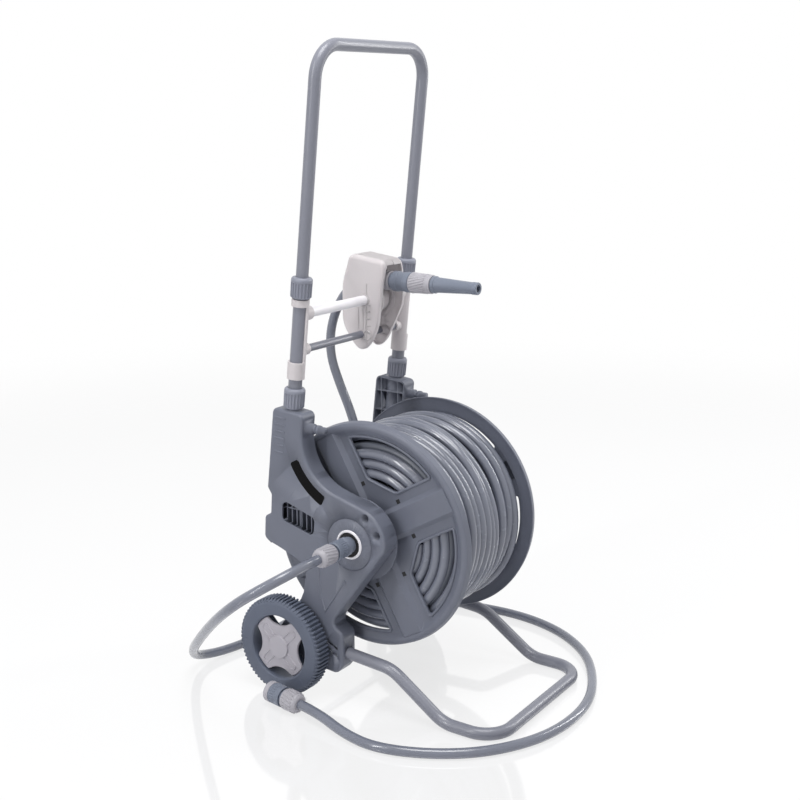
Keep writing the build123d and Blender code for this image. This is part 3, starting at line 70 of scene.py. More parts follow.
lens = bpy.data.cameras.new("photo_camera")
lens.lens = 56.97
lens.sensor_width = 36.0
camera = placed("photo_camera", lens)
camera.location = (-1.5319, -0.9890, 0.8746)
camera.rotation_euler = (radians(76.56), 0.0, radians(-56.06))
bpy.context.scene.camera = camera
bpy.context.scene.view_settings.view_transform = "Standard"
print("camera at", tuple(camera.location))

# %% [markdown]
# ## Studio
# The cart stands on a white sweep under soft boxes. The world lights everything evenly, and rays that go
# straight from the camera, or by way of a shiny surface, see pure white. The floor is a disc that fades
# out at its rim. Part of what the camera sees of it is its own lit surface, which keeps the shadow, and a
# thin polish adds a faint reflection.

# %% Light the studio
WHITE = (1.0, 1.0, 1.0, 1.0)
WORLD_LEVEL = 0.35


def give(tree, socket, value):
    """Sets a socket to a value, or links another socket to it."""
    if isinstance(value, bpy.types.NodeSocket):
        tree.links.new(value, socket)
    else:
        socket.default_value = value


def add(tree, kind, operation=None, **inputs):
    """A new node with that operation, and with values or links for its inputs."""
    node = tree.nodes.new(kind)
    if operation:
        node.operation = operation
    for label, value in inputs.items():
        give(tree, node.inputs[label.replace("_", " ")], value)
    return node


def calc(tree, operation, first, second):
    """The result of a Math node on two numbers or sockets."""
    node = add(tree, "ShaderNodeMath", operation)
    give(tree, node.inputs[0], first)
    give(tree, node.inputs[1], second)
    return node.outputs[0]


def vector(tree, operation, first, second=None):
    """The result of a Vector Math node on one or two values or sockets."""
    node = add(tree, "ShaderNodeVectorMath", operation)
    give(tree, node.inputs[0], first)
    if second is not None:
        give(tree, node.inputs["Scale" if operation == "SCALE" else 1], second)
    return node.outputs["Value" if operation in ("LENGTH", "DOT_PRODUCT") else "Vector"]


def seen_ray(tree):
    """1 for a ray that shows the background, straight or reflected, and 0 for one that lights things."""
    path = add(tree, "ShaderNodeLightPath").outputs
    shiny = calc(tree, "MAXIMUM", path["Is Glossy Ray"], path["Is Transmission Ray"])
    return calc(tree, "MAXIMUM", path["Is Camera Ray"], shiny)


studio = bpy.data.worlds.new("studio")
studio.use_nodes = True
bpy.context.scene.world = studio
sky = studio.node_tree
sky_light = sky.nodes["Background"].inputs
level = add(sky, "ShaderNodeMapRange", Value=seen_ray(sky), To_Min=WORLD_LEVEL, To_Max=1.0)
give(sky, sky_light["Color"], WHITE)
give(sky, sky_light["Strength"], level.outputs["Result"])


def soft_box(name, place, target, size, power):
    """A lamp that faces the target."""
    lamp = bpy.data.lights.new(name, "AREA")
    lamp.shape = "RECTANGLE"
    lamp.size, lamp.size_y = size
    lamp.energy = power
    box = placed(name, lamp)
    box.location = place
    box.rotation_euler = (Vector(target) - Vector(place)).to_track_quat("-Z", "Y").to_euler()


soft_box("top_soft_box", (-0.5, -0.3, 2.6), (0.0, 0.0, 0.2), (1.3, 1.3), 43.0)
soft_box("left_strip", (-2.2, 0.6, 1.5), (0.0, 0.0, 0.4), (0.16, 1.7), 21.0)
soft_box("right_strip", (1.7, -1.1, 1.4), (0.0, 0.0, 0.4), (0.16, 1.7), 18.0)
print("world and three soft boxes")

# %% Floor
FLOOR_RADIUS = 3.0
GLOW_SHARE = 0.85
POLISH_SHARE = 0.12


def mixed(tree, share, first, second):
    """A mix of two shaders: the first at a share of 0, and the second at 1."""
    node = add(tree, "ShaderNodeMixShader")
    for socket, value in zip(node.inputs, (share, first.outputs[0], second.outputs[0])):
        give(tree, socket, value)
    return node


floor_form = bmesh.new()
bmesh.ops.create_circle(floor_form, cap_ends=True, segments=96, radius=FLOOR_RADIUS)
floor_mesh = bpy.data.meshes.new("floor")
floor_form.to_mesh(floor_mesh)
floor_form.free()
floor = placed("floor", floor_mesh)
sweep = bpy.data.materials.new("white_sweep")
sweep.use_nodes = True
tree = sweep.node_tree
tree.nodes.clear()
matt = add(tree, "ShaderNodeBsdfDiffuse", Color=(0.89, 0.89, 0.91, 1.0))
share = calc(tree, "MULTIPLY", seen_ray(tree), GLOW_SHARE)
lit = mixed(tree, share, matt, add(tree, "ShaderNodeEmission"))
polished = mixed(tree, POLISH_SHARE, lit, add(tree, "ShaderNodeBsdfGlossy", Color=WHITE, Roughness=0.07))
reach = vector(tree, "LENGTH", add(tree, "ShaderNodeTexCoord").outputs["Object"])
fade = add(tree, "ShaderNodeMapRange", Value=reach, From_Min=0.5 * FLOOR_RADIUS, From_Max=0.97 * FLOOR_RADIUS)
fade.interpolation_type = "SMOOTHSTEP"
faded = mixed(tree, fade.outputs["Result"], polished, add(tree, "ShaderNodeBsdfTransparent"))
add(tree, "ShaderNodeOutputMaterial", Surface=faded.outputs[0])
floor_mesh.materials.append(sweep)
print("floor of", FLOOR_RADIUS, "m radius")

# %% [markdown]
# ## Finishes
# Nearly the whole cart is injection-moulded plastic, so one recipe makes most finishes: a slow drift of
# colour, a fine spark-eroded grain as bump, and a little change of roughness. The Bevel node rounds the
# look of every moulded edge, and where that rounding turns the normal the colour is painted a little
# lighter: a painted highlight for the light that rounded edges catch, which also stands for a little
# handling wear. All of it reads Object coordinates, in metres, so the grain is the same size on every piece.

# %% Finish recipes
DRIFT_CELLS = 11.0
GLOSS_CELLS = 55.0
GRAIN_STRENGTH = 0.6
COAT_ROUGHNESS = 0.1
# How much lighter the painted highlight on moulded edges is.
SHEEN_GAIN = 1.9
TURNED_EDGE = 0.72
FLAT_FACE = 0.98


def linear(code, gain=1.0):
    """A colour code as linear values."""
    parts = [int(code[i:i + 2], 16) / 255 for i in (1, 3, 5)]
    light = [c / 12.92 if c <= 0.04045 else ((c + 0.055) / 1.055) ** 2.4 for c in parts]
    return [min(1.0, gain * c) for c in light] + [1.0]


def noise(tree, source, scale, detail=2.0):
    """Noise of that many cells to a metre."""
    return add(tree, "ShaderNodeTexNoise", Vector=source, Scale=scale, Detail=detail).outputs["Fac"]


def ranged(tree, source, low, high, start=0.3, end=0.7):
    """The source from start to end, as a value from low to high."""
    return add(tree, "ShaderNodeMapRange", Value=source, From_Min=start, From_Max=end, To_Min=low,
               To_Max=high).outputs["Result"]


def blend_colours(tree, factor, first, second):
    """The first colour, or what it links to, at 0, and the second at 1."""
    node = add(tree, "ShaderNodeMix")
    node.data_type = "RGBA"
    for socket, value in ((0, factor), (6, first), (7, second)):
        give(tree, node.inputs[socket], value)
    return node.outputs[2]


def finish(name, code, roughness, grain=900.0, depth=0.00012, drift=0.07, edge=0.0007, edge_sheen=0.25, metal=0.0,
           coat=0.0, shine=0.5, uneven=0.07):
    """A solid finish: drifting colour, a painted highlight on its edges, uneven gloss and a fine grain."""
    material = bpy.data.materials.new(name)
    material.use_nodes = True
    tree = material.node_tree
    shader = tree.nodes["Principled BSDF"].inputs
    place = add(tree, "ShaderNodeTexCoord").outputs["Object"]
    colour = blend_colours(tree, ranged(tree, noise(tree, place, DRIFT_CELLS, 4.0), 0.0, 1.0),
                           linear(code, 1.0 - drift), linear(code, 1.0 + drift))
    bump = add(tree, "ShaderNodeBump", Strength=GRAIN_STRENGTH, Distance=depth,
               Height=noise(tree, place, grain))
    if edge:
        bevel = add(tree, "ShaderNodeBevel", Radius=edge)
        bevel.samples = 4
        rounded = bevel.outputs["Normal"]
        flat = add(tree, "ShaderNodeNewGeometry").outputs["Normal"]
        give(tree, bump.inputs["Normal"], rounded)
        # Painted highlight: where the Bevel normal turns from the face, the colour is mixed towards a lighter one,
        # which also stands for a little handling wear.
        sheen_mask = ranged(tree, vector(tree, "DOT_PRODUCT", rounded, flat), edge_sheen, 0.0, TURNED_EDGE, FLAT_FACE)
        colour = blend_colours(tree, sheen_mask, colour, linear(code, SHEEN_GAIN))
    gloss = ranged(tree, noise(tree, place, GLOSS_CELLS, 3.0), roughness - uneven, roughness + uneven)
    for label, value in (("Base Color", colour), ("Normal", bump.outputs["Normal"]), ("Roughness", gloss),
                         ("Metallic", metal), ("Specular IOR Level", shine), ("Coat Weight", coat),
                         ("Coat Roughness", COAT_ROUGHNESS)):
        give(tree, shader[label], value)
    return material


slate = finish("slate_moulding", "#676b78", 0.44, edge=0.001, edge_sheen=0.35)
mid_grey = finish("mid_grey_moulding", "#838693", 0.45, edge=0.0005)
warm_grey = finish("light_warm_moulding", "#cdc7c9", 0.5, drift=0.03, edge_sheen=0.1)
thin_wall = warm_grey.node_tree.nodes["Principled BSDF"].inputs
thin_wall["Subsurface Weight"].default_value = 0.4
thin_wall["Subsurface Scale"].default_value = 0.012
thin_wall["Subsurface Radius"].default_value = (1.0, 0.97, 0.97)
cap_grey = finish("cap_moulding", "#aeabb3", 0.5, drift=0.04, edge_sheen=0.15)
tyre_grey = finish("wheel_moulding", "#596070", 0.55, grain=600.0)
collar_grey = finish("collar_moulding", "#aaa8af", 0.45, drift=0.03, edge=0.0004, edge_sheen=0.1)
collar_slate = finish("collar_slate", "#737a89", 0.42, edge=0.0004)
powder_coat = finish("grey_powder_coat", "#7c7e89", 0.33, grain=420.0, depth=0.00003, drift=0.02, edge=0.0,
                     coat=0.1, uneven=0.015)
rail_white = finish("white_rail", "#efedf1", 0.35, drift=0.02, edge=0.0)
zinc = finish("zinc_plate", "#b9bcc2", 0.32, grain=1500.0, depth=0.00005, drift=0.1, edge=0.0004, metal=1.0)
panel_black = finish("black_panel", "#08080a", 0.25, grain=1500.0, depth=0.00003, drift=0.2, edge_sheen=0.1,
                     shine=0.08)
# Black rubber for the seals, also laid where open holes show dark, as painted shade.
seal_and_shade_black = finish("seal_rubber", "#1b1b1d", 0.7, drift=0.15, edge=0.0)
hose_vinyl = finish("hose_vinyl", "#6f7380", 0.22, grain=260.0, depth=0.00003, drift=0.08, edge=0.0, coat=0.5)
# Painted shade: a darker copy of the hose vinyl for the layer that lies under the outer turns.
painted_shade_hose = finish("shaded_hose_vinyl", "#5f636d", 0.4, grain=260.0, depth=0.00005, drift=0.08, edge=0.0)
print("finishes ready")

# %% [markdown]
# ## CAD pieces
# Every CAD piece takes the finish of its slot in the record. The posts, the handle, the foot tube, the rails
# with their brackets, the crank and the small parts inside keep their CAD shapes, and the others are replaced
# further on. The lower guide rail is painted tube like the posts, while the upper one is a white rod.

# %% Dress the CAD pieces
finish_of_slot = {
    "slate_plastic": slate, "clamp_plastic": mid_grey, "label_plastic": panel_black,
    "light_plastic": warm_grey, "grey_paint": powder_coat, "white_rail": rail_white, "steel": zinc,
    "wheel_plastic": tyre_grey, "hose_vinyl": hose_vinyl, "seal_rubber": seal_and_shade_black,
    "connector_slate": collar_slate, "connector_light": collar_grey,
}
for entry in frame["record"]["subparts"]:
    nodes[entry["node"]].material_slots[0].material = finish_of_slot[entry["material_slot"]]

# %% [markdown]
# ## Leader hose
# The leader is two metres of hose between the reel's inlet and the tap. It leaves the inlet straight,
# drops behind the wheel, runs round the cart on the floor and ends in a quick connector in front of the
# wheel. A NURBS curve suits it: its control points give one smooth line with no kinks, and a round bevel
# makes it a tube.

# %% Hoses
HOSE_RADIUS = 0.00725
ON_FLOOR = 0.0076


def drawn(name, kind, spots, radius):
    """A curve of that kind over the spots, with a round section, and its line."""
    curve = bpy.data.curves.new(name, "CURVE")
    curve.dimensions = "3D"
    curve.bevel_depth = radius
    curve.use_fill_caps = True
    line = curve.splines.new(kind)
    line.points.add(len(spots) - 1)
    for point, spot in zip(line.points, spots):
        point.co = (*spot, 1.0)
    return curve, line


def hose(name, route, body, node):
    """A tube of hose along a smooth line through the route's points, in place of its CAD solid."""
    curve, line = drawn(name, "NURBS", route, HOSE_RADIUS)
    line.order_u = 3
    line.use_endpoint_u = True
    line.resolution_u = 10
    curve.bevel_resolution = 7
    curve.materials.append(hose_vinyl)
    piece = placed(name, curve)
    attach(piece, body)
    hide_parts(node)
    print(name, len(route), "route points")
    return piece


LEADER_DROP = (
    (-0.2125, 0.030, 0.251), (-0.2495, 0.030, 0.251), (-0.287, 0.036, 0.246), (-0.313, 0.056, 0.232),
    (-0.325, 0.086, 0.211), (-0.318, 0.122, 0.183), (-0.292, 0.171, 0.144), (-0.250, 0.235, 0.090),
    (-0.216, 0.279, 0.052), (-0.189, 0.303, 0.026), (-0.158, 0.3095, 0.0125),
)
LEADER_BOW = (
    (-0.119, 0.301), (-0.040, 0.287), (0.045, 0.288), (0.125, 0.278), (0.190, 0.242), (0.236, 0.182),
    (0.255, 0.116), (0.264, 0.050), (0.271, -0.010), (0.262, -0.074), (0.236, -0.134), (0.188, -0.192),
    (0.118, -0.236), (0.046, -0.264), (-0.030, -0.269), (-0.100, -0.254), (-0.168, -0.213),
    (-0.215, -0.154), (-0.243, -0.082),
)
LEADER_RISE = ((-0.236, -0.022, 0.0086), (-0.21869, 0.03731, 0.01598), (-0.214, 0.073, 0.0167))
LEADER_ROUTE = (*LEADER_DROP, *[(x, y, ON_FLOOR) for x, y in LEADER_BOW], *LEADER_RISE)
leader = hose("leader_line", LEADER_ROUTE, "frame", "leader_hose")

# %% [markdown]
# ## Feed hose
# The end of the wound hose comes off the drum, bows out behind the cart, passes over the guide's pulley
# and ends in the nozzle. It moves along the rails with the guide. Its lower end goes in among the turns.

# %% Feed hose
GUIDE_X = joints["guide_pulley_spin"]["pos_m"][0]
FEED_ROUTE = [(GUIDE_X, y, z) for y, z in (
    (0.103, 0.60363), (0.136, 0.60363), (0.171, 0.587), (0.195, 0.5545), (0.209, 0.515), (0.209, 0.473),
    (0.192, 0.431), (0.172, 0.391), (0.160, 0.357), (0.155, 0.328), (0.151, 0.300),
)]
feed = hose("feed_line", FEED_ROUTE, "carriage", "feed_hose")

# %% [markdown]
# ## Wound hose
# About ten metres of hose show as the outer layer of the drum, and more lies under it. A winding follows
# a rule, so Geometry Nodes fit: the Spiral node draws the path, a touch of noise makes the turns wander
# as a hand-wound hose does, and Curve to Mesh gives the path its round section. The same tree makes the
# flat spirals that show through the windows of the flanges, when its width is zero and its radius grows.

# %% Winding tree
def new_tree(name, sizes):
    """An empty node group with a named input for each size, and its input and output nodes."""
    group = bpy.data.node_groups.new(name, "GeometryNodeTree")
    for label, kind in (("Geometry", "NodeSocketGeometry"), *sizes, ("Finish", "NodeSocketMaterial")):
        group.interface.new_socket(label, in_out="INPUT", socket_type=kind)
    group.interface.new_socket("Geometry", in_out="OUTPUT", socket_type="NodeSocketGeometry")
    return group, group.nodes.new("NodeGroupInput").outputs, group.nodes.new("NodeGroupOutput").inputs


def close_tree(group, given, result, shape):
    """Ends a tree: smooth, realised, and in its finish."""
    smooth = add(group, "GeometryNodeSetShadeSmooth", Geometry=shape)
    real = add(group, "GeometryNodeRealizeInstances", Geometry=smooth.outputs[0])
    paint = add(group, "GeometryNodeSetMaterial", Geometry=real.outputs[0], Material=given["Finish"])
    give(group, result["Geometry"], paint.outputs[0])


def settle(mesh, place):
    """Moves a mesh to its place, and turns its faces outwards again where that place is mirrored."""
    mesh.transform(place)
    if place.determinant() < 0.0:
        mesh.flip_normals()


def plain(holder, *helpers):
    """An object's evaluated shape as a plain mesh. The object and its helpers are removed."""
    view = bpy.context.evaluated_depsgraph_get()
    mesh = bpy.data.meshes.new_from_object(holder.evaluated_get(view))
    for used in (holder, *helpers):
        bpy.data.objects.remove(used)
    return mesh


def grow(group, place=Matrix(), **sizes):
    """Runs a tree with those sizes and returns the result as a plain mesh, moved to its place."""
    holder = placed("holder", bpy.data.meshes.new("holder"))
    step = holder.modifiers.new("grow", "NODES")
    step.node_group = group
    socket = {item.name: item.identifier for item in group.interface.items_tree if item.in_out == "INPUT"}
    for label, value in sizes.items():
        step[socket[label.replace("_", " ")]] = value
    mesh = plain(holder)
    settle(mesh, place)
    return mesh


coil, given, result = new_tree("wound_hose", [(label, "NodeSocketFloat") for label in (
    "Turns", "First radius", "Last radius", "Width", "Hose radius", "Wander", "Lift", "Sink", "Seed")])
spiral = add(coil, "GeometryNodeCurveSpiral", Resolution=72, Rotations=given["Turns"], Height=given["Width"],
             Start_Radius=given["First radius"], End_Radius=given["Last radius"])

# The noise runs along the hose, about two waves to a turn, so each turn strays by itself.
done = add(coil, "GeometryNodeSplineParameter").outputs["Factor"]
sway = add(coil, "ShaderNodeTexNoise", Scale=1.9, Detail=1.0)
sway.noise_dimensions = "1D"
spin = calc(coil, "ADD", calc(coil, "MULTIPLY", done, given["Turns"]), given["Seed"])
give(coil, sway.inputs["W"], spin)
stray = add(coil, "ShaderNodeSeparateXYZ", Vector=sway.outputs["Color"]).outputs
sideways = calc(coil, "MULTIPLY", calc(coil, "SUBTRACT", stray["X"], 0.5), given["Wander"])
raised = calc(coil, "MULTIPLY", calc(coil, "SUBTRACT", stray["Y"], 0.5), given["Lift"])

# The first and last turn lie straight along the flanges.
calm = calc(coil, "MULTIPLY", ranged(coil, done, 0.0, 1.0, 0.03, 0.2),
            ranged(coil, done, 0.0, 1.0, 0.97, 0.8))
sideways = calc(coil, "MULTIPLY", sideways, calm)

# Both ends dive towards the axis, so that no cut end shows.
ends = calc(coil, "ADD", ranged(coil, done, -1.0, 0.0, 0.0, 0.025),
            ranged(coil, done, -1.0, 0.0, 1.0, 0.975))
raised = calc(coil, "ADD", raised, calc(coil, "MULTIPLY", ends, given["Sink"]))

spot = add(coil, "GeometryNodeInputPosition").outputs[0]
outward = vector(coil, "NORMALIZE", vector(coil, "MULTIPLY", spot, (1.0, 1.0, 0.0)))
across = add(coil, "ShaderNodeCombineXYZ", Z=sideways).outputs[0]
offset = vector(coil, "ADD", vector(coil, "SCALE", outward, raised), across)
strayed = add(coil, "GeometryNodeSetPosition", Geometry=spiral.outputs[0], Offset=offset)
section = add(coil, "GeometryNodeCurvePrimitiveCircle", Resolution=20, Radius=given["Hose radius"])
tube = add(coil, "GeometryNodeCurveToMesh", Curve=strayed.outputs[0], Profile_Curve=section.outputs[0],
           Fill_Caps=True)
close_tree(coil, given, result, tube.outputs[0])
print("wound hose tree with", len(coil.nodes), "nodes")


# %% Outer layer
def keep(name, mesh, body, slot, *stands_for):
    """A finished piece at the origin, which rides on its body and stands for those CAD nodes."""
    piece = placed(name, mesh)
    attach(piece, body)
    if stands_for:
        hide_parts(*stands_for)
    print(name, len(mesh.polygons), "faces, on", body)
    return piece


def along(origin, way):
    """The frame at a point whose Z runs along the way."""
    return Matrix.Translation(origin) @ Vector(way).to_track_quat("Z", "Y").to_matrix().to_4x4()


def winding(place, turns, radii, width, strays, seed, material):
    """Hose wound from one radius to another. The strays are its wander, its lift and the sink of its ends."""
    return grow(coil, place, Turns=turns, First_radius=radii[0], Last_radius=radii[1], Width=width,
                Hose_radius=HOSE_RADIUS, Wander=strays[0], Lift=strays[1], Sink=strays[2], Seed=seed,
                Finish=material)


DRUM = Vector(joints["drum_spin"]["pos_m"])
TURNS = 11.0
PITCH = 0.0155
WINDING_HALF = TURNS * PITCH / 2
WINDING_RADIUS = 0.14275

drum_left = along(DRUM - Vector((WINDING_HALF, 0.0, 0.0)), (1.0, 0.0, 0.0))
outer_layer = winding(drum_left, TURNS, (WINDING_RADIUS, WINDING_RADIUS), 2 * WINDING_HALF,
                      (0.04, 0.014, 0.014), 0.0, hose_vinyl)
keep("wound_turns", outer_layer, "drum", "hose_vinyl", "hose_winding")


# %% Inner layers
def joined(name, meshes):
    """Several meshes as one, each keeping its finish."""
    form = bmesh.new()
    finishes = []
    for mesh in meshes:
        first = len(form.faces)
        form.from_mesh(mesh)
        form.faces.ensure_lookup_table()
        for face in form.faces[first:]:
            own = mesh.materials[face.material_index]
            if own not in finishes:
                finishes.append(own)
            face.material_index = finishes.index(own)
    whole = bpy.data.meshes.new(name)
    form.to_mesh(whole)
    form.free()
    for own in finishes:
        whole.materials.append(own)
    return whole


INNER_RADIUS = 0.0795
LAYER = 0.01465
SPIRAL_END = 0.0853
SPIRAL_TURNS = 3.6
under = WINDING_RADIUS - LAYER
# The layer underneath takes the darker hose colour, painted shade for the gaps between the outer turns.
inner = [winding(drum_left, TURNS, (under, under), 2 * WINDING_HALF, (0.016, 0.004, 0.014), 40.0, painted_shade_hose)]
for end in (-1.0, 1.0):
    face = along(DRUM + Vector((end * SPIRAL_END, 0.0, 0.0)), (end, 0.0, 0.0))
    inner.append(winding(face, SPIRAL_TURNS, (INNER_RADIUS, INNER_RADIUS + SPIRAL_TURNS * LAYER), 0.0,
                         (0.006, 0.003, 0.0), 80.0, hose_vinyl))
keep("wound_core", joined("wound_core", inner), "drum", "hose_vinyl", "hose_core")

# %% [markdown]
# ## Ribbed nuts
# Every hand-turned piece on the cart has finger ribs: the four tube clamps, the hose nuts and the nozzle's
# collar. The body is a turned shape, made by spinning a profile, and the ribs repeat round it, so a small
# Geometry Nodes tree draws one rounded rib as a line with a round section and copies it round the axis.

# %% Turned bodies and rib rings
SHARP = 32.0


def band(form, near, far):
    """The faces between two rings of points."""
    for i in range(len(near)):
        j = (i + 1) % len(near)
        form.faces.new((near[i], near[j], far[j], far[i]))


def skinned(form, material, sharp=SHARP):
    """A form as a mesh with its faces outwards, smooth but for its sharp edges."""
    bmesh.ops.recalc_face_normals(form, faces=form.faces)
    mesh = bpy.data.meshes.new("skin")
    form.to_mesh(mesh)
    form.free()
    mesh.materials.append(material)
    mesh.shade_smooth()
    mesh.set_sharp_from_angle(angle=radians(sharp))
    return mesh


def turned(profile, material, place=Matrix(), steps=72):
    """A ring spun from a closed profile of distances along the axis and radii, in millimetres."""
    form = bmesh.new()
    angles = [2 * pi * step / steps for step in range(steps)]
    rings = [[form.verts.new((radius * cos(a) / 1000, radius * sin(a) / 1000, distance / 1000))
              for a in angles] for distance, radius in profile]
    for near, far in zip(rings, rings[1:] + rings[:1]):
        band(form, near, far)
    mesh = skinned(form, material)
    settle(mesh, place)
    return mesh


def lofted(rings, material, place=Matrix(), sharp=SHARP):
    """A skin over rings of as many points each, in millimetres, with its two ends closed."""
    form = bmesh.new()
    skin = [[form.verts.new(place @ (Vector(point) / 1000)) for point in ring] for ring in rings]
    form.faces.new(skin[0])
    form.faces.new(skin[-1])
    for near, far in zip(skin, skin[1:]):
        band(form, near, far)
    return skinned(form, material, sharp)


def prism(outline, low, high, material, place=Matrix()):
    """An outline in millimetres, carried straight from one height to another."""
    return lofted([[(x, y, z) for x, y in outline] for z in (low, high)], material, place)


def oblong(left, right, low, high):
    """A rectangle's outline."""
    return [(left, low), (right, low), (right, high), (left, high)]


def bar_tree(name, *vectors):
    """A tree that copies a round bar to points, with its sizes, a copy's number, and what is left to link."""
    group, given, result = new_tree(name, (("Count", "NodeSocketInt"), ("Bar radius", "NodeSocketFloat"),
                                           *[(label, "NodeSocketVector") for label in vectors]))
    line = add(group, "GeometryNodeCurvePrimitiveLine")
    section = add(group, "GeometryNodeCurvePrimitiveCircle", Resolution=8, Radius=given["Bar radius"])
    bar = add(group, "GeometryNodeCurveToMesh", Curve=line.outputs[0], Profile_Curve=section.outputs[0],
              Fill_Caps=True)
    points = add(group, "GeometryNodePoints", Count=given["Count"])
    copies = add(group, "GeometryNodeInstanceOnPoints", Points=points.outputs[0], Instance=bar.outputs[0])
    number = add(group, "GeometryNodeInputIndex").outputs[0]
    close_tree(group, given, result, copies.outputs[0])
    return group, given, number, line.inputs, points.inputs, copies.inputs


rib_tree, given, number, line, _, copies = bar_tree("rib_ring", "Start", "End")
part = calc(rib_tree, "DIVIDE", number, given["Count"])
turn = add(rib_tree, "ShaderNodeCombineXYZ", Z=calc(rib_tree, "MULTIPLY", part, 2 * pi))
spin = add(rib_tree, "FunctionNodeEulerToRotation", Euler=turn.outputs[0])
give(rib_tree, line["Start"], given["Start"])
give(rib_tree, line["End"], given["End"])
give(rib_tree, copies["Rotation"], spin.outputs[0])


def rib_ring(count, start, end, width, material, place, twist=0.0):
    """Ribs round an axis, from one distance and radius to another, in millimetres and degrees."""
    bend = radians(twist)
    return grow(rib_tree, place, Count=count, Bar_radius=width / 2000,
                Start=(start[1] / 1000, 0.0, start[0] / 1000),
                End=(end[1] * cos(bend) / 1000, end[1] * sin(bend) / 1000, end[0] / 1000),
                Finish=material)


print("rib tree with", len(rib_tree.nodes), "nodes")

# %% [markdown]
# ## Drum flanges
# Each end of the drum is one large moulding: a flat web with four windows, a rounded rim that the web flows
# into, and four raised arms with sloping sides. One turned profile gives web and rim. A Boolean cuts the
# windows and cores out the arms from behind, and a round bead edges each window. A walk along an outline in
# small steps, averaged over its neighbours, rounds all its corners alike.

# %% Outlines and beads
def softened(corners, reach):
    """A closed outline in steps of about a millimetre, each averaged over that many steps both ways."""
    walk = []
    for (x0, y0), (x1, y1) in zip(corners, corners[1:] + corners[:1]):
        steps = max(1, round(dist((x0, y0), (x1, y1))))
        walk += [(x0 + (x1 - x0) * k / steps, y0 + (y1 - y0) * k / steps) for k in range(steps)]
    near = range(-reach, reach + 1)
    return [tuple(sum(walk[(i + k) % len(walk)][axis] for k in near) / len(near) for axis in (0, 1))
            for i in range(len(walk))]


def bead(outline, height, width, material, place, closed=True):
    """A round bead along an outline, in millimetres."""
    spots = [(x / 1000, y / 1000, height / 1000) for x, y in outline]
    curve, line = drawn("bead", "POLY", spots, width / 2000)
    curve.bevel_resolution = 2
    line.use_cyclic_u = closed
    mesh = plain(placed("bead", curve))
    mesh.materials.clear()
    mesh.materials.append(material)
    mesh.shade_smooth()
    settle(mesh, place)
    return mesh


def cut_out(mesh, tool):
    """A mesh with another taken away from it."""
    holder = placed("holder", mesh)
    taken = placed("taken", tool)
    step = holder.modifiers.new("cut", "BOOLEAN")
    step.object = taken
    left = plain(holder, taken)
    left.shade_smooth()
    left.set_sharp_from_angle(angle=radians(SHARP))
    return left


# %% Flanges
WEB = 95.2
WEB_BACK = 92.8
RIM_FACE = 101.5
RIM_INNER = 89.6
HUB_END = 114.0
ARM_TURN = 60.0
ARM_TOP = 16.5
ARM_FOOT = 23.5
WINDOW_SIDE = 40.0
WINDOW_OUTER = 146.0
WINDOW_INNER = 86.0
ARM_REACH = (36.0, 157.0)
CORE_REACH = (58.0, 154.0)
ROUND_STEPS = 180
SLOT_PLACE = (72.0, 27.0)
SLOT_HALF = 3.2


def window(margin=0.0):
    """The outline of a window between two arms that run along X and Y."""
    side, outer, inner = WINDOW_SIDE - margin, WINDOW_OUTER + margin, WINDOW_INNER - margin
    start = degrees(asin(side / outer))
    arc = [radians(start + (90.0 - 2 * start) * k / 12) for k in range(13)]
    far = sqrt(inner ** 2 - side ** 2)
    return softened([(outer * cos(a), outer * sin(a)) for a in arc] + [(side, far), (far, side)], 5)


def arm(place):
    """A raised arm along X with sloping sides."""
    low, high = WEB - 0.5, RIM_FACE - 0.2
    section = [(-ARM_FOOT, low), (-ARM_TOP, high), (ARM_TOP, high), (ARM_FOOT, low)]
    return lofted([[(reach, y, z) for y, z in section] for reach in ARM_REACH], slate, place)


def hollow(place):
    """The space that is cored out of an arm from the hose's side."""
    half = ARM_TOP - 1.5
    return prism(oblong(*CORE_REACH, -half, half), WEB_BACK - 4.0, RIM_FACE - 2.2, slate, place)


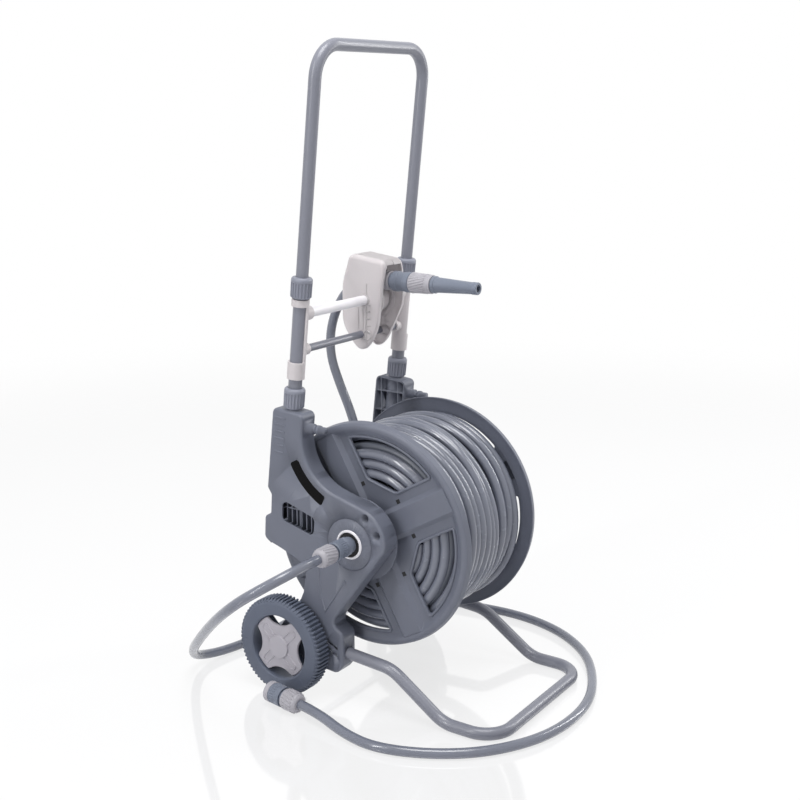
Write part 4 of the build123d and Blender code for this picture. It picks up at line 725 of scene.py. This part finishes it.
def flange(side, hand):
    """One end of the drum. Its own Z points away from the hose, and X runs along an arm."""
    way = Vector((side, 0.0, 0.0))
    first = Vector((0.0, cos(radians(ARM_TURN)), sin(radians(ARM_TURN))))
    place = Matrix((first, way.cross(first), way)).transposed().to_4x4()
    place.translation = DRUM
    ring = turned([(WEB_BACK, 20.0), (WEB, 20.0), (WEB, 147.6), (WEB + 0.4, 150.0), (WEB + 1.5, 152.6),
                   (WEB + 3.2, 155.0), (RIM_FACE - 1.0, 157.6), (RIM_FACE, 160.4), (RIM_FACE - 0.1, 163.4),
                   (RIM_FACE - 0.9, 166.0), (RIM_FACE - 2.6, 167.8), (RIM_INNER + 1.0, 169.8),
                   (RIM_INNER, 169.4), (RIM_INNER, 167.8), (WEB_BACK, 167.2)], slate, place, ROUND_STEPS)
    hub = turned([(WEB - 0.5, 20.0), (WEB - 0.5, 46.0), (WEB + 2.0, 44.0), (HUB_END, 40.0), (HUB_END, 20.0)],
                 slate, place)
    quarters = [place @ Matrix.Rotation(radians(90.0 * k), 4, "Z") for k in range(4)]
    cores = [hollow(turn) for turn in quarters]
    windows = [prism(window(), WEB_BACK - 4.0, WEB + 8.0, slate, turn) for turn in quarters]
    pieces = [cut_out(ring, joined("windows", windows + cores)), hub]
    x, y = SLOT_PLACE
    for turn, core in zip(quarters, cores):
        pieces += [cut_out(arm(turn), core), bead(window(1.8), WEB + 0.6, 4.6, slate, turn)]
        # Dark squares of the black finish on the web are painted shade for the open clip slots.
        for middle in (y, -y):
            square = oblong(x - SLOT_HALF, x + SLOT_HALF, middle - SLOT_HALF, middle + SLOT_HALF)
            pieces.append(prism(square, WEB - 1.0, WEB + 0.15, seal_and_shade_black, turn))
    keep("flange_face_" + hand, joined("flange", pieces), "drum", "slate_plastic", "flange_" + hand)
    return turned([(RIM_INNER + 0.6, 167.9), (91.0, 164.0), (92.0, 157.0), (WEB_BACK - 0.3, 148.6),
                   (WEB_BACK + 0.3, 148.6), (WEB_BACK + 0.3, 167.9)], slate, place, ROUND_STEPS)


backs = [flange(side, hand) for side, hand in SIDES]
keep("rim_backs", joined("rim_backs", backs), "drum", "slate_plastic", "rim_rings")

# %% [markdown]
# ## Tube clamps
# The clamp nuts squeeze a split collet round the tubes. Each has a ribbed skirt, a smooth band above it
# and a chamfered top. A clamp's joint sits at the nut's middle and points along the tube.

# %% Clamp nuts
CLAMP_HALF = 15.0

for name, bore in (("lower_clamp_left", 10.2), ("lower_clamp_right", 10.2), ("upper_clamp_left", 9.1),
                   ("upper_clamp_right", 9.1)):
    joint = joints[name + "_twist"]
    place = along(joint["pos_m"], joint["axis"])
    skirt = turned([(-CLAMP_HALF, 12.8), (-CLAMP_HALF, 13.3), (-14.2, 13.9), (-4.0, 14.1), (7.2, 14.2),
                    (7.8, 15.2), (8.6, 15.5), (11.4, 15.5), (13.2, 14.9), (14.6, 13.6), (CLAMP_HALF, 12.2),
                    (CLAMP_HALF, bore), (11.0, bore), (9.5, 12.8)], mid_grey, place)
    ribs = rib_ring(20, (-13.4, 14.0), (8.0, 14.3), 2.5, mid_grey, place)
    keep(name + "_nut", joined(name, [skirt, ribs]), name, "clamp_plastic", name)

# %% [markdown]
# ## Quick connectors
# A quick connector has a sleeve that is pulled back to let go of a spigot, and a nut that clamps the hose.
# The nut's shoulder is rounded, its ribs slant a little, and short teeth ring the hole where the hose
# goes in. The connector on the free end also has a light ring at its mouth. The one at the reel stands a
# little out of a white ring, and behind it a black disc is painted shade, where the inlet's hole lies in shadow.

# %% Connectors
NUT_START = 35.5
SLEEVE_END = 31.0
HOSE_MM = 1000 * HOSE_RADIUS
NOZZLE_SHIFT = 6.0
TAP_WAY = -Vector(joints["tap_release"]["axis"])
TAP_MOUTH = Vector(LEADER_ROUTE[-1]) + TAP_WAY * 0.0635
NOZZLE_MOUTH = Vector(joints["nozzle_twist"]["pos_m"])
inlet_axis = along((0.0, DRUM.y, DRUM.z), (-1.0, 0.0, 0.0))
inlet_place = inlet_axis @ Matrix.Translation((0.0, 0.0, 0.156)) @ Matrix.Diagonal((0.9, 0.9, 1.0, 1.0))
tap_place = along(TAP_MOUTH, -TAP_WAY)
nozzle_place = along(NOZZLE_MOUTH, (0.0, 1.0, 0.0))


def hose_nut(name, place, end, body):
    """Light nut with slanted ribs, a rounded shoulder and teeth round the hose."""
    shoulder = end - 9.0
    ring = turned([(NUT_START, 10.6), (NUT_START, 14.9), (NUT_START + 0.8, 15.1), (shoulder, 15.1),
                   (end - 5.0, 14.6), (end - 2.2, 13.4), (end - 0.6, 11.2), (end, 10.2), (end, HOSE_MM),
                   (end - 4.0, HOSE_MM), (end - 4.0, 10.6)], collar_grey, place)
    ribs = rib_ring(20, (NUT_START + 1.6, 15.0), (shoulder + 3.0, 14.8), 2.3, collar_grey, place, 14.0)
    teeth = rib_ring(12, (end - 3.0, 10.6), (end - 0.6, 8.7), 2.0, collar_grey, place)
    return keep(name + "_grip", joined(name, [ring, ribs, teeth]), body, "connector_light", name)


def sleeve(name, place, light_mouth=False, waist_ribs=26):
    """Slate sleeve with a waist of fine ribs."""
    mouth = collar_grey if light_mouth else collar_slate
    split = 9.0
    front = turned([(0.0, 12.2), (0.0, 14.5), (0.8, 15.3), (split - 0.6, 15.5), (split, 15.0),
                    (split, 12.2)], mouth, place)
    back = turned([(split, 12.2), (split, 14.5), (split + 1.2, 14.5), (SLEEVE_END - 9.5, 14.5),
                   (SLEEVE_END - 8.5, 15.4), (SLEEVE_END - 1.0, 15.4), (SLEEVE_END, 14.6),
                   (SLEEVE_END, 12.2)], collar_slate, place)
    pieces = [front, back]
    if waist_ribs:
        pieces.append(rib_ring(waist_ribs, (split + 1.4, 14.3), (SLEEVE_END - 9.4, 14.3), 1.9, collar_slate,
                               place))
    return keep(name + "_collar", joined(name, pieces), name, "connector_slate", name)


ring = turned([(147.6, 18.2), (149.8, 18.4), (150.2, 19.2), (150.0, 21.0), (149.0, 21.8), (147.6, 21.8)],
              rail_white, inlet_axis)
keep("inlet_ring", ring, "frame", "white_rail")
# Painted shade: a thin black disc stands in the inlet's hole, which lies in shadow.
inlet_shade = turned([(146.8, 8.8), (147.4, 8.8), (147.4, 17.9), (146.8, 17.9)], seal_and_shade_black, inlet_axis)
keep("inlet_shade_disc", inlet_shade, "frame", "seal_rubber")
sleeve("inlet_sleeve", inlet_place)
hose_nut("inlet_nut", inlet_place, 65.5, "frame")
tap_sleeve = sleeve("tap_sleeve", tap_place, light_mouth=True)
tap_nut = hose_nut("tap_nut", tap_place, 63.5, "frame")
sleeve("nozzle_sleeve", nozzle_place @ Matrix.Translation((0.0, 0.0, -NOZZLE_SHIFT / 1000)), waist_ribs=0)

# %% [markdown]
# ## Nozzle
# The nozzle's light collar is held while the slate cone is twisted from a jet to a spray. The collar tapers
# and has slanted ribs, and the cone has a bead at its root and a lip round the hole.

# %% Nozzle
nut_front = NUT_START - NOZZLE_SHIFT
short_nut = turned([(nut_front, 10.6), (nut_front, 14.0), (nut_front + 0.8, 14.6), (nut_front + 5.0, 14.6),
                    (nut_front + 5.6, 13.6), (nut_front + 7.0, 13.6), (nut_front + 7.6, 15.0), (41.4, 15.0),
                    (42.6, 14.2), (43.0, 12.0), (43.0, HOSE_MM), (40.0, HOSE_MM), (40.0, 10.6)],
                   collar_grey, nozzle_place)
short_ribs = rib_ring(26, (nut_front + 8.0, 14.7), (41.6, 14.7), 1.4, collar_grey, nozzle_place)
keep("nozzle_nut_grip", joined("nozzle_nut", [short_nut, short_ribs]), "carriage", "connector_light",
     "nozzle_nut")
front = -NOZZLE_SHIFT - 0.4
collar = turned([(19.0, 4.0), (19.0, 8.6), (front, 8.6), (front, 14.2), (front - 0.8, 15.0), (-34.0, 13.9),
                 (-36.0, 14.6), (-43.0, 14.2), (-44.0, 13.4), (-44.0, 7.0), (-70.0, 7.0), (-70.0, 4.0)],
                collar_grey, nozzle_place)
collar_ribs = rib_ring(22, (front - 2.0, 14.9), (-35.0, 13.8), 2.6, collar_grey, nozzle_place, 30.0)
keep("nozzle_collar", joined("nozzle_grip", [collar, collar_ribs]), "carriage", "connector_light",
     "nozzle_grip")
cone = turned([(-44.4, 7.1), (-44.4, 12.0), (-45.2, 12.9), (-49.6, 13.0), (-50.6, 12.2), (-51.0, 11.6),
               (-112.0, 8.9), (-113.0, 9.4), (-121.4, 9.3), (-122.4, 8.6), (-122.4, 5.6), (-112.0, 5.0),
               (-70.4, 5.0), (-70.4, 7.1)], collar_slate, nozzle_place)
keep("nozzle_tip", cone, "nozzle_cone", "connector_slate", "nozzle_cone")

# %% [markdown]
# ## Wheels
# A wheel is a hollow moulding with a flat side and close ribs across its tread, which wrap over the
# shoulder. The ring is turned, two rings of ribs make the tread, and the hub and the crossed spokes behind
# the cap are plain.

# %% Wheels
WHEEL_WIDTH = 28.0
WHEEL_INNER = 152.0
TREAD_RIBS = 72
SPOKE_WIDTH = 22.0
SPOKE_START = 12.0
SPOKE_END = 50.0
HUB_BACK = 8.0
HUB_FRONT = 21.0


def spoke(turn, place):
    """A square bar from the hub to the rim."""
    bar = oblong(SPOKE_START, SPOKE_END, -SPOKE_WIDTH / 2, SPOKE_WIDTH / 2)
    return prism(bar, HUB_BACK, HUB_FRONT, tyre_grey, place @ Matrix.Rotation(radians(turn), 4, "Z"))


for side, hand in SIDES:
    joint = Vector(joints["wheel_" + hand + "_spin"]["pos_m"])
    place = along((side * WHEEL_INNER / 1000, joint.y, joint.z), (side, 0.0, 0.0))
    ring = turned([(0.0, 49.0), (0.0, 71.2), (1.6, 72.8), (22.6, 72.8), (25.4, 71.8), (27.2, 69.8),
                   (WHEEL_WIDTH, 67.0), (WHEEL_WIDTH - 0.6, 51.6), (WHEEL_WIDTH - 2.0, 49.6), (23.0, 49.0)],
                  tyre_grey, place, ROUND_STEPS)
    tread = rib_ring(TREAD_RIBS, (1.6, 74.3), (22.2, 74.3), 3.5, tyre_grey, place)
    shoulder = rib_ring(TREAD_RIBS, (22.0, 74.3), (26.4, 70.6), 3.5, tyre_grey, place)
    hub = turned([(HUB_BACK, 6.3), (HUB_BACK, 15.0), (HUB_FRONT, 15.0), (HUB_FRONT, 11.3), (16.0, 11.3),
                  (16.0, 6.3)], tyre_grey, place)
    marks = rib_ring(8, (WHEEL_WIDTH - 0.4, 58.0), (WHEEL_WIDTH - 0.3, 66.0), 1.0, tyre_grey, place)
    spokes = [spoke(45.0 + 90.0 * k, place) for k in range(4)]
    wheel = joined("wheel", [ring, tread, shoulder, hub, marks, *spokes])
    keep("ribbed_wheel_" + hand, wheel, "wheel_" + hand, "wheel_plastic", "wheel_" + hand)

# %% [markdown]
# ## Wheel caps
# A light four-lobed cap hides each axle end. It is a soft moulding: hollow sides, a round boss, and a raised
# line that outlines a channel along each lobe. A height over a polar grid suits it better than cutting and
# bevelling: one formula gives the outline, one gives the height, and the mesh follows both.

# %% Wheel caps
CAP_RIM = 48.6
CAP_THICK = 7.0
CAP_STEPS = 432
CAP_RINGS = 84
BOSS_RADIUS = 18.0
CHANNEL_END = 35.0
CHANNEL_HALF = 5.6


def eased(low, high, value):
    """0 below low, 1 above high, and a smooth step between."""
    t = min(1.0, max(0.0, (value - low) / (high - low)))
    return t * t * (3 - 2 * t)


def cap_reach(turn):
    """The cap's edge from its middle, at an angle in degrees, in millimetres."""
    hollow_centre, hollow = 67.0, 33.0
    off = radians((turn + 45.0) % 90.0 - 45.0)
    across = hollow_centre * sin(off)
    if abs(across) >= hollow:
        return CAP_RIM
    return min(CAP_RIM, hollow_centre * cos(off) - sqrt(hollow ** 2 - across ** 2))


def cap_height(radius, turn, edge):
    """The cap's face over its seat, in millimetres."""
    lobe = radians(turn % 90.0 - 45.0)
    across = radius * sin(lobe)
    past_end = max(0.0, radius * cos(lobe) - CHANNEL_END)
    ridge = 1.0 - eased(0.3, 1.3, abs(hypot(across, past_end) - CHANNEL_HALF))
    face = 3.4 + 1.6 * ridge - 0.9 * eased(24.0, 48.0, radius)
    boss = 6.9 - 0.35 * (radius / BOSS_RADIUS) ** 2
    height = face + (boss - face) * (1.0 - eased(BOSS_RADIUS - 1.0, BOSS_RADIUS + 0.2, radius))
    drop = max(0.0, 2.0 - (edge - radius))
    return height - 0.5 * drop ** 2


def wheel_cap(side):
    """A cap's mesh, as rings of points from the boss's middle to the edge and down to the seat."""
    axle = Vector(joints["wheel_left_spin"]["pos_m"])
    seat = side * (WHEEL_INNER + WHEEL_WIDTH - CAP_THICK) / 1000
    turns = [360.0 * step / CAP_STEPS for step in range(CAP_STEPS)]
    reach = [sum(cap_reach(turn + 0.5 * k) for k in range(-6, 7)) / 13 for turn in turns]
    rings = []
    for ring in range(1, CAP_RINGS + 1):
        radii = [edge * ring / CAP_RINGS for edge in reach]
        rings.append([(radius, turn, cap_height(radius, turn, edge))
                      for radius, turn, edge in zip(radii, turns, reach)])
    rings.append([(edge, turn, 0.0) for turn, edge in zip(turns, reach)])
    place = along(axle + Vector((seat, 0.0, 0.0)), (side, 0.0, 0.0))
    return lofted([[(radius * cos(radians(turn)), radius * sin(radians(turn)), height)
                    for radius, turn, height in ring] for ring in rings], cap_grey, place, 50.0)


for side, hand in SIDES:
    keep("cap_face_" + hand, wheel_cap(side), "wheel_" + hand, "light_plastic", "wheel_cap_" + hand)

# %% [markdown]
# ## Grip ridges
# Two moulded details repeat in a straight row: the ridges on the side of each plate's block, and the lines on
# the guide's cheeks. A tree like the rib ring's does it, with a step in place of a turn.

# %% Rows of bars
row_tree, given, number, line, points, _ = bar_tree("bar_row", "First", "Step", "Half bar")
moved = vector(row_tree, "SCALE", given["Step"], number)
give(row_tree, points["Position"], vector(row_tree, "ADD", given["First"], moved))
give(row_tree, line["Start"], given["Half bar"])
give(row_tree, line["End"], vector(row_tree, "SCALE", given["Half bar"], -1.0))


def bars(count, first, step, half, width, material, place=Matrix()):
    """A straight row of rounded bars, in millimetres."""
    first, step, half = [tuple(value / 1000 for value in spot) for spot in (first, step, half)]
    return grow(row_tree, place, Count=count, First=first, Step=step, Half_bar=half, Bar_radius=width / 2000,
                Finish=material)


PLATE_FACE = 148.0
for side, hand in SIDES:
    ridges = bars(6, (side * (PLATE_FACE - 0.6), 152.5, 421.5), (0.0, 0.9, -10.4), (0.0, 9.5, 0.6), 3.4,
                  slate)
    keep("block_ridges_" + hand, ridges, "frame", "slate_plastic")

# %% [markdown]
# ## Side plates
# Behind the hub a plate's outline draws in, so that the drum's rim shows between the grip and the leg. The
# plates come from CAD with a fuller outline there. A copy of the CAD mesh is closed up, a Boolean takes the
# corner off, and a new wall follows the cut. A moulded crease marks a panel on the leg.

# %% Side plates
PLATE_BACK = 118.0
PLATE_SKIN = 145.0
NOTCH = [(147.0, -24.3), (128.0, -30.0), (96.0, -41.5), (78.0, -50.5), (81.5, -72.0),
         (85.0, -92.0), (92.0, -107.0)]
NOTCH_OUTSIDE = [(150.0, -107.0), (150.0, -60.0)]
CREASE = [(56.0, -44.0), (54.0, -88.0), (45.0, -113.0), (8.0, -57.0)]
NOTCH_WALL = 3.0


def upright(side, origin):
    """The frame at a point whose X runs to the back, Y up, and Z to that side."""
    place = Matrix(((0.0, 1.0, 0.0), (0.0, 0.0, 1.0), (side, 0.0, 0.0))).transposed().to_4x4()
    place.translation = origin
    return place


def closed_copy(node):
    """A copy of a CAD piece's mesh with its loose triangles joined."""
    form = bmesh.new()
    form.from_mesh(node.data)
    bmesh.ops.remove_doubles(form, verts=form.verts, dist=1e-6)
    mesh = bpy.data.meshes.new("closed")
    form.to_mesh(mesh)
    form.free()
    mesh.materials.append(slate)
    return mesh


for side, hand in SIDES:
    place = upright(side, (0.0, DRUM.y, DRUM.z))
    tool = prism(NOTCH + NOTCH_OUTSIDE, PLATE_BACK - 5.0, PLATE_FACE + 5.0, slate, place)
    plate = cut_out(closed_copy(nodes["side_plate_" + hand]), tool)
    walls = []
    for (x0, y0), (x1, y1) in zip(NOTCH, NOTCH[1:]):
        length = dist((x0, y0), (x1, y1))
        dx, dy = NOTCH_WALL * (y0 - y1) / length, NOTCH_WALL * (x1 - x0) / length
        strip = [(x0, y0), (x1, y1), (x1 - dx, y1 - dy), (x0 - dx, y0 - dy)]
        walls.append(prism(strip, PLATE_BACK, PLATE_SKIN + 1.0, slate, place))
    crease = bead(CREASE, PLATE_FACE - 0.4, 4.0, slate, place, closed=False)
    keep("notched_plate_" + hand, joined("plate", [plate, *walls, crease]), "frame", "slate_plastic",
         "side_plate_" + hand)

# %% [markdown]
# ## Hose guide
# Two thin cheeks make the guide's housing. Each is an egg-shaped plate with a turned-in lip, and its back
# edge flares so that the hose runs in without catching. They meet over a rounded roof, and the rest stays
# open. The cheek on the far side bulges to guard the pulley, which is a spoked wheel with a groove.

# %% Guide housing
RAIL_Y, RAIL_Z = joints["guide_pulley_spin"]["pos_m"][1:]
LOWER_RAIL = (-5.5, -53.4)
GUIDE_HALF = 26.0
CHEEK_WALL = 2.2
EDGE_ROUND = 3.5
ROOF_ROUND = 8.0
LIP = 7.0


def cheek_outline(front):
    """A cheek's outline, clockwise from the roof's front, with a point to which its front edge bulges."""
    return softened([(-39.0, 62.0), (29.0, 70.0), (41.0, 20.0), (41.0, -38.0), (26.0, -62.0), (8.0, -81.0),
                     (-9.0, -70.0), (-24.0, -42.0), front], 12)


def inset(outline, amount):
    """A clockwise outline moved inwards."""
    moved = []
    for (x0, y0), (x, y), (x1, y1) in zip(outline[-1:] + outline[:-1], outline, outline[1:] + outline[:1]):
        length = dist((x0, y0), (x1, y1))
        moved.append((x + amount * (y1 - y0) / length, y - amount * (x1 - x0) / length))
    return moved


def round_at(height):
    """The radius between cheek and edge, which grows towards the roof."""
    return EDGE_ROUND + (ROOF_ROUND - EDGE_ROUND) * eased(30.0, 58.0, height)


def cheek(front, place):
    """A cheek, as rings over its rounded edge, along its lip and back inside it."""
    outline = cheek_outline(front)
    turns = [radians(90.0 * k / 6) for k in range(7)]
    rings = []
    for turn in turns:
        ring = []
        for (x, y), (dx, dy) in zip(outline, inset(outline, 1.0)):
            wide = round_at(y)
            step = wide * (1.0 - sin(turn))
            flare = 1.3 * eased(5.0, 28.0, x) * sin(2 * turn)
            ring.append((x + (dx - x) * step, y + (dy - y) * step, wide * (1.0 - cos(turn)) - flare))
        rings.append(ring)
    inner = inset(outline, CHEEK_WALL)
    depths = [max(LIP, round_at(y) + 0.5) for x, y in outline]
    rings.append([(x, y, depth) for (x, y), depth in zip(outline, depths)])
    rings.append([(x, y, depth) for (x, y), depth in zip(inner, depths)])
    rings.append([(x, y, round_at(y)) for x, y in inner])
    rings.append([(x, y, CHEEK_WALL) for x, y in inset(outline, ROOF_ROUND)])
    return lofted(rings, warm_grey, place, 40.0)


def roof(front, place):
    """The wall from the cheek to the middle, over the top."""
    outline = cheek_outline(front)
    inner = inset(outline, CHEEK_WALL)
    top = [i for i, (x, y) in enumerate(outline) if y > 54.0]
    return [prism([outline[i], outline[(i + 1) % len(outline)], inner[(i + 1) % len(outline)], inner[i]],
                  ROOF_ROUND, GUIDE_HALF - 0.1, warm_grey, place) for i in top]


for side, hand, front in ((-1.0, "left", (-31.0, 15.0)), (1.0, "right", (-42.0, -5.0))):
    place = upright(-side, (GUIDE_X + side * GUIDE_HALF / 1000, RAIL_Y, RAIL_Z))
    bosses = [turned([(-1.2, bore), (-1.2, bore + 1.6), (-0.4, bore + 2.4), (3.0, bore + 2.4), (3.0, bore)],
                     warm_grey, place @ Matrix.Translation((x / 1000, y / 1000, 0.0)))
              for x, y, bore in ((0.0, 0.0, 7.8), (*LOWER_RAIL, 6.0))]
    lines = [bars(2, (2.0, -24.0, 0.0), (8.5, 0.0, 0.0), (0.0, 21.0, 0.0), 2.0, warm_grey, place),
             bars(1, (-4.5, -20.0, 0.0), (0.0, 0.0, 0.0), (0.0, 46.0, 0.0), 2.4, warm_grey, place),
             bars(5, (-8.0, -6.0, 0.0), (0.0, -11.0, 0.0), (4.0, 0.0, 0.0), 2.0, warm_grey, place)]
    shell = joined("cheek", [cheek(front, place), *roof(front, place), *bosses, *lines])
    keep("guide_cheek_" + hand, shell, "carriage", "light_plastic", "guide_shell_" + hand)

# %% Guide pulley
pulley_place = along((GUIDE_X, RAIL_Y, RAIL_Z), (1.0, 0.0, 0.0))
pulley = [turned([(-17.0, 7.9), (-17.0, 11.0), (-12.6, 11.0), (-12.6, 20.6), (12.6, 20.6), (12.6, 11.0),
                  (17.0, 11.0), (17.0, 7.9)], warm_grey, pulley_place)]
for end in (-1.0, 1.0):
    disc = [(12.4, 20.4), (14.0, 22.0), (14.0, 29.6), (14.6, 30.0), (15.4, 29.6), (15.4, 24.0), (14.6, 23.0)]
    pulley.append(turned([(end * out, radius) for out, radius in disc], warm_grey, pulley_place))
    pulley.append(rib_ring(6, (end * 14.4, 10.6), (end * 14.4, 24.4), 2.0, warm_grey, pulley_place))
keep("spoked_pulley", joined("pulley", pulley), "guide_pulley", "light_plastic", "guide_pulley")
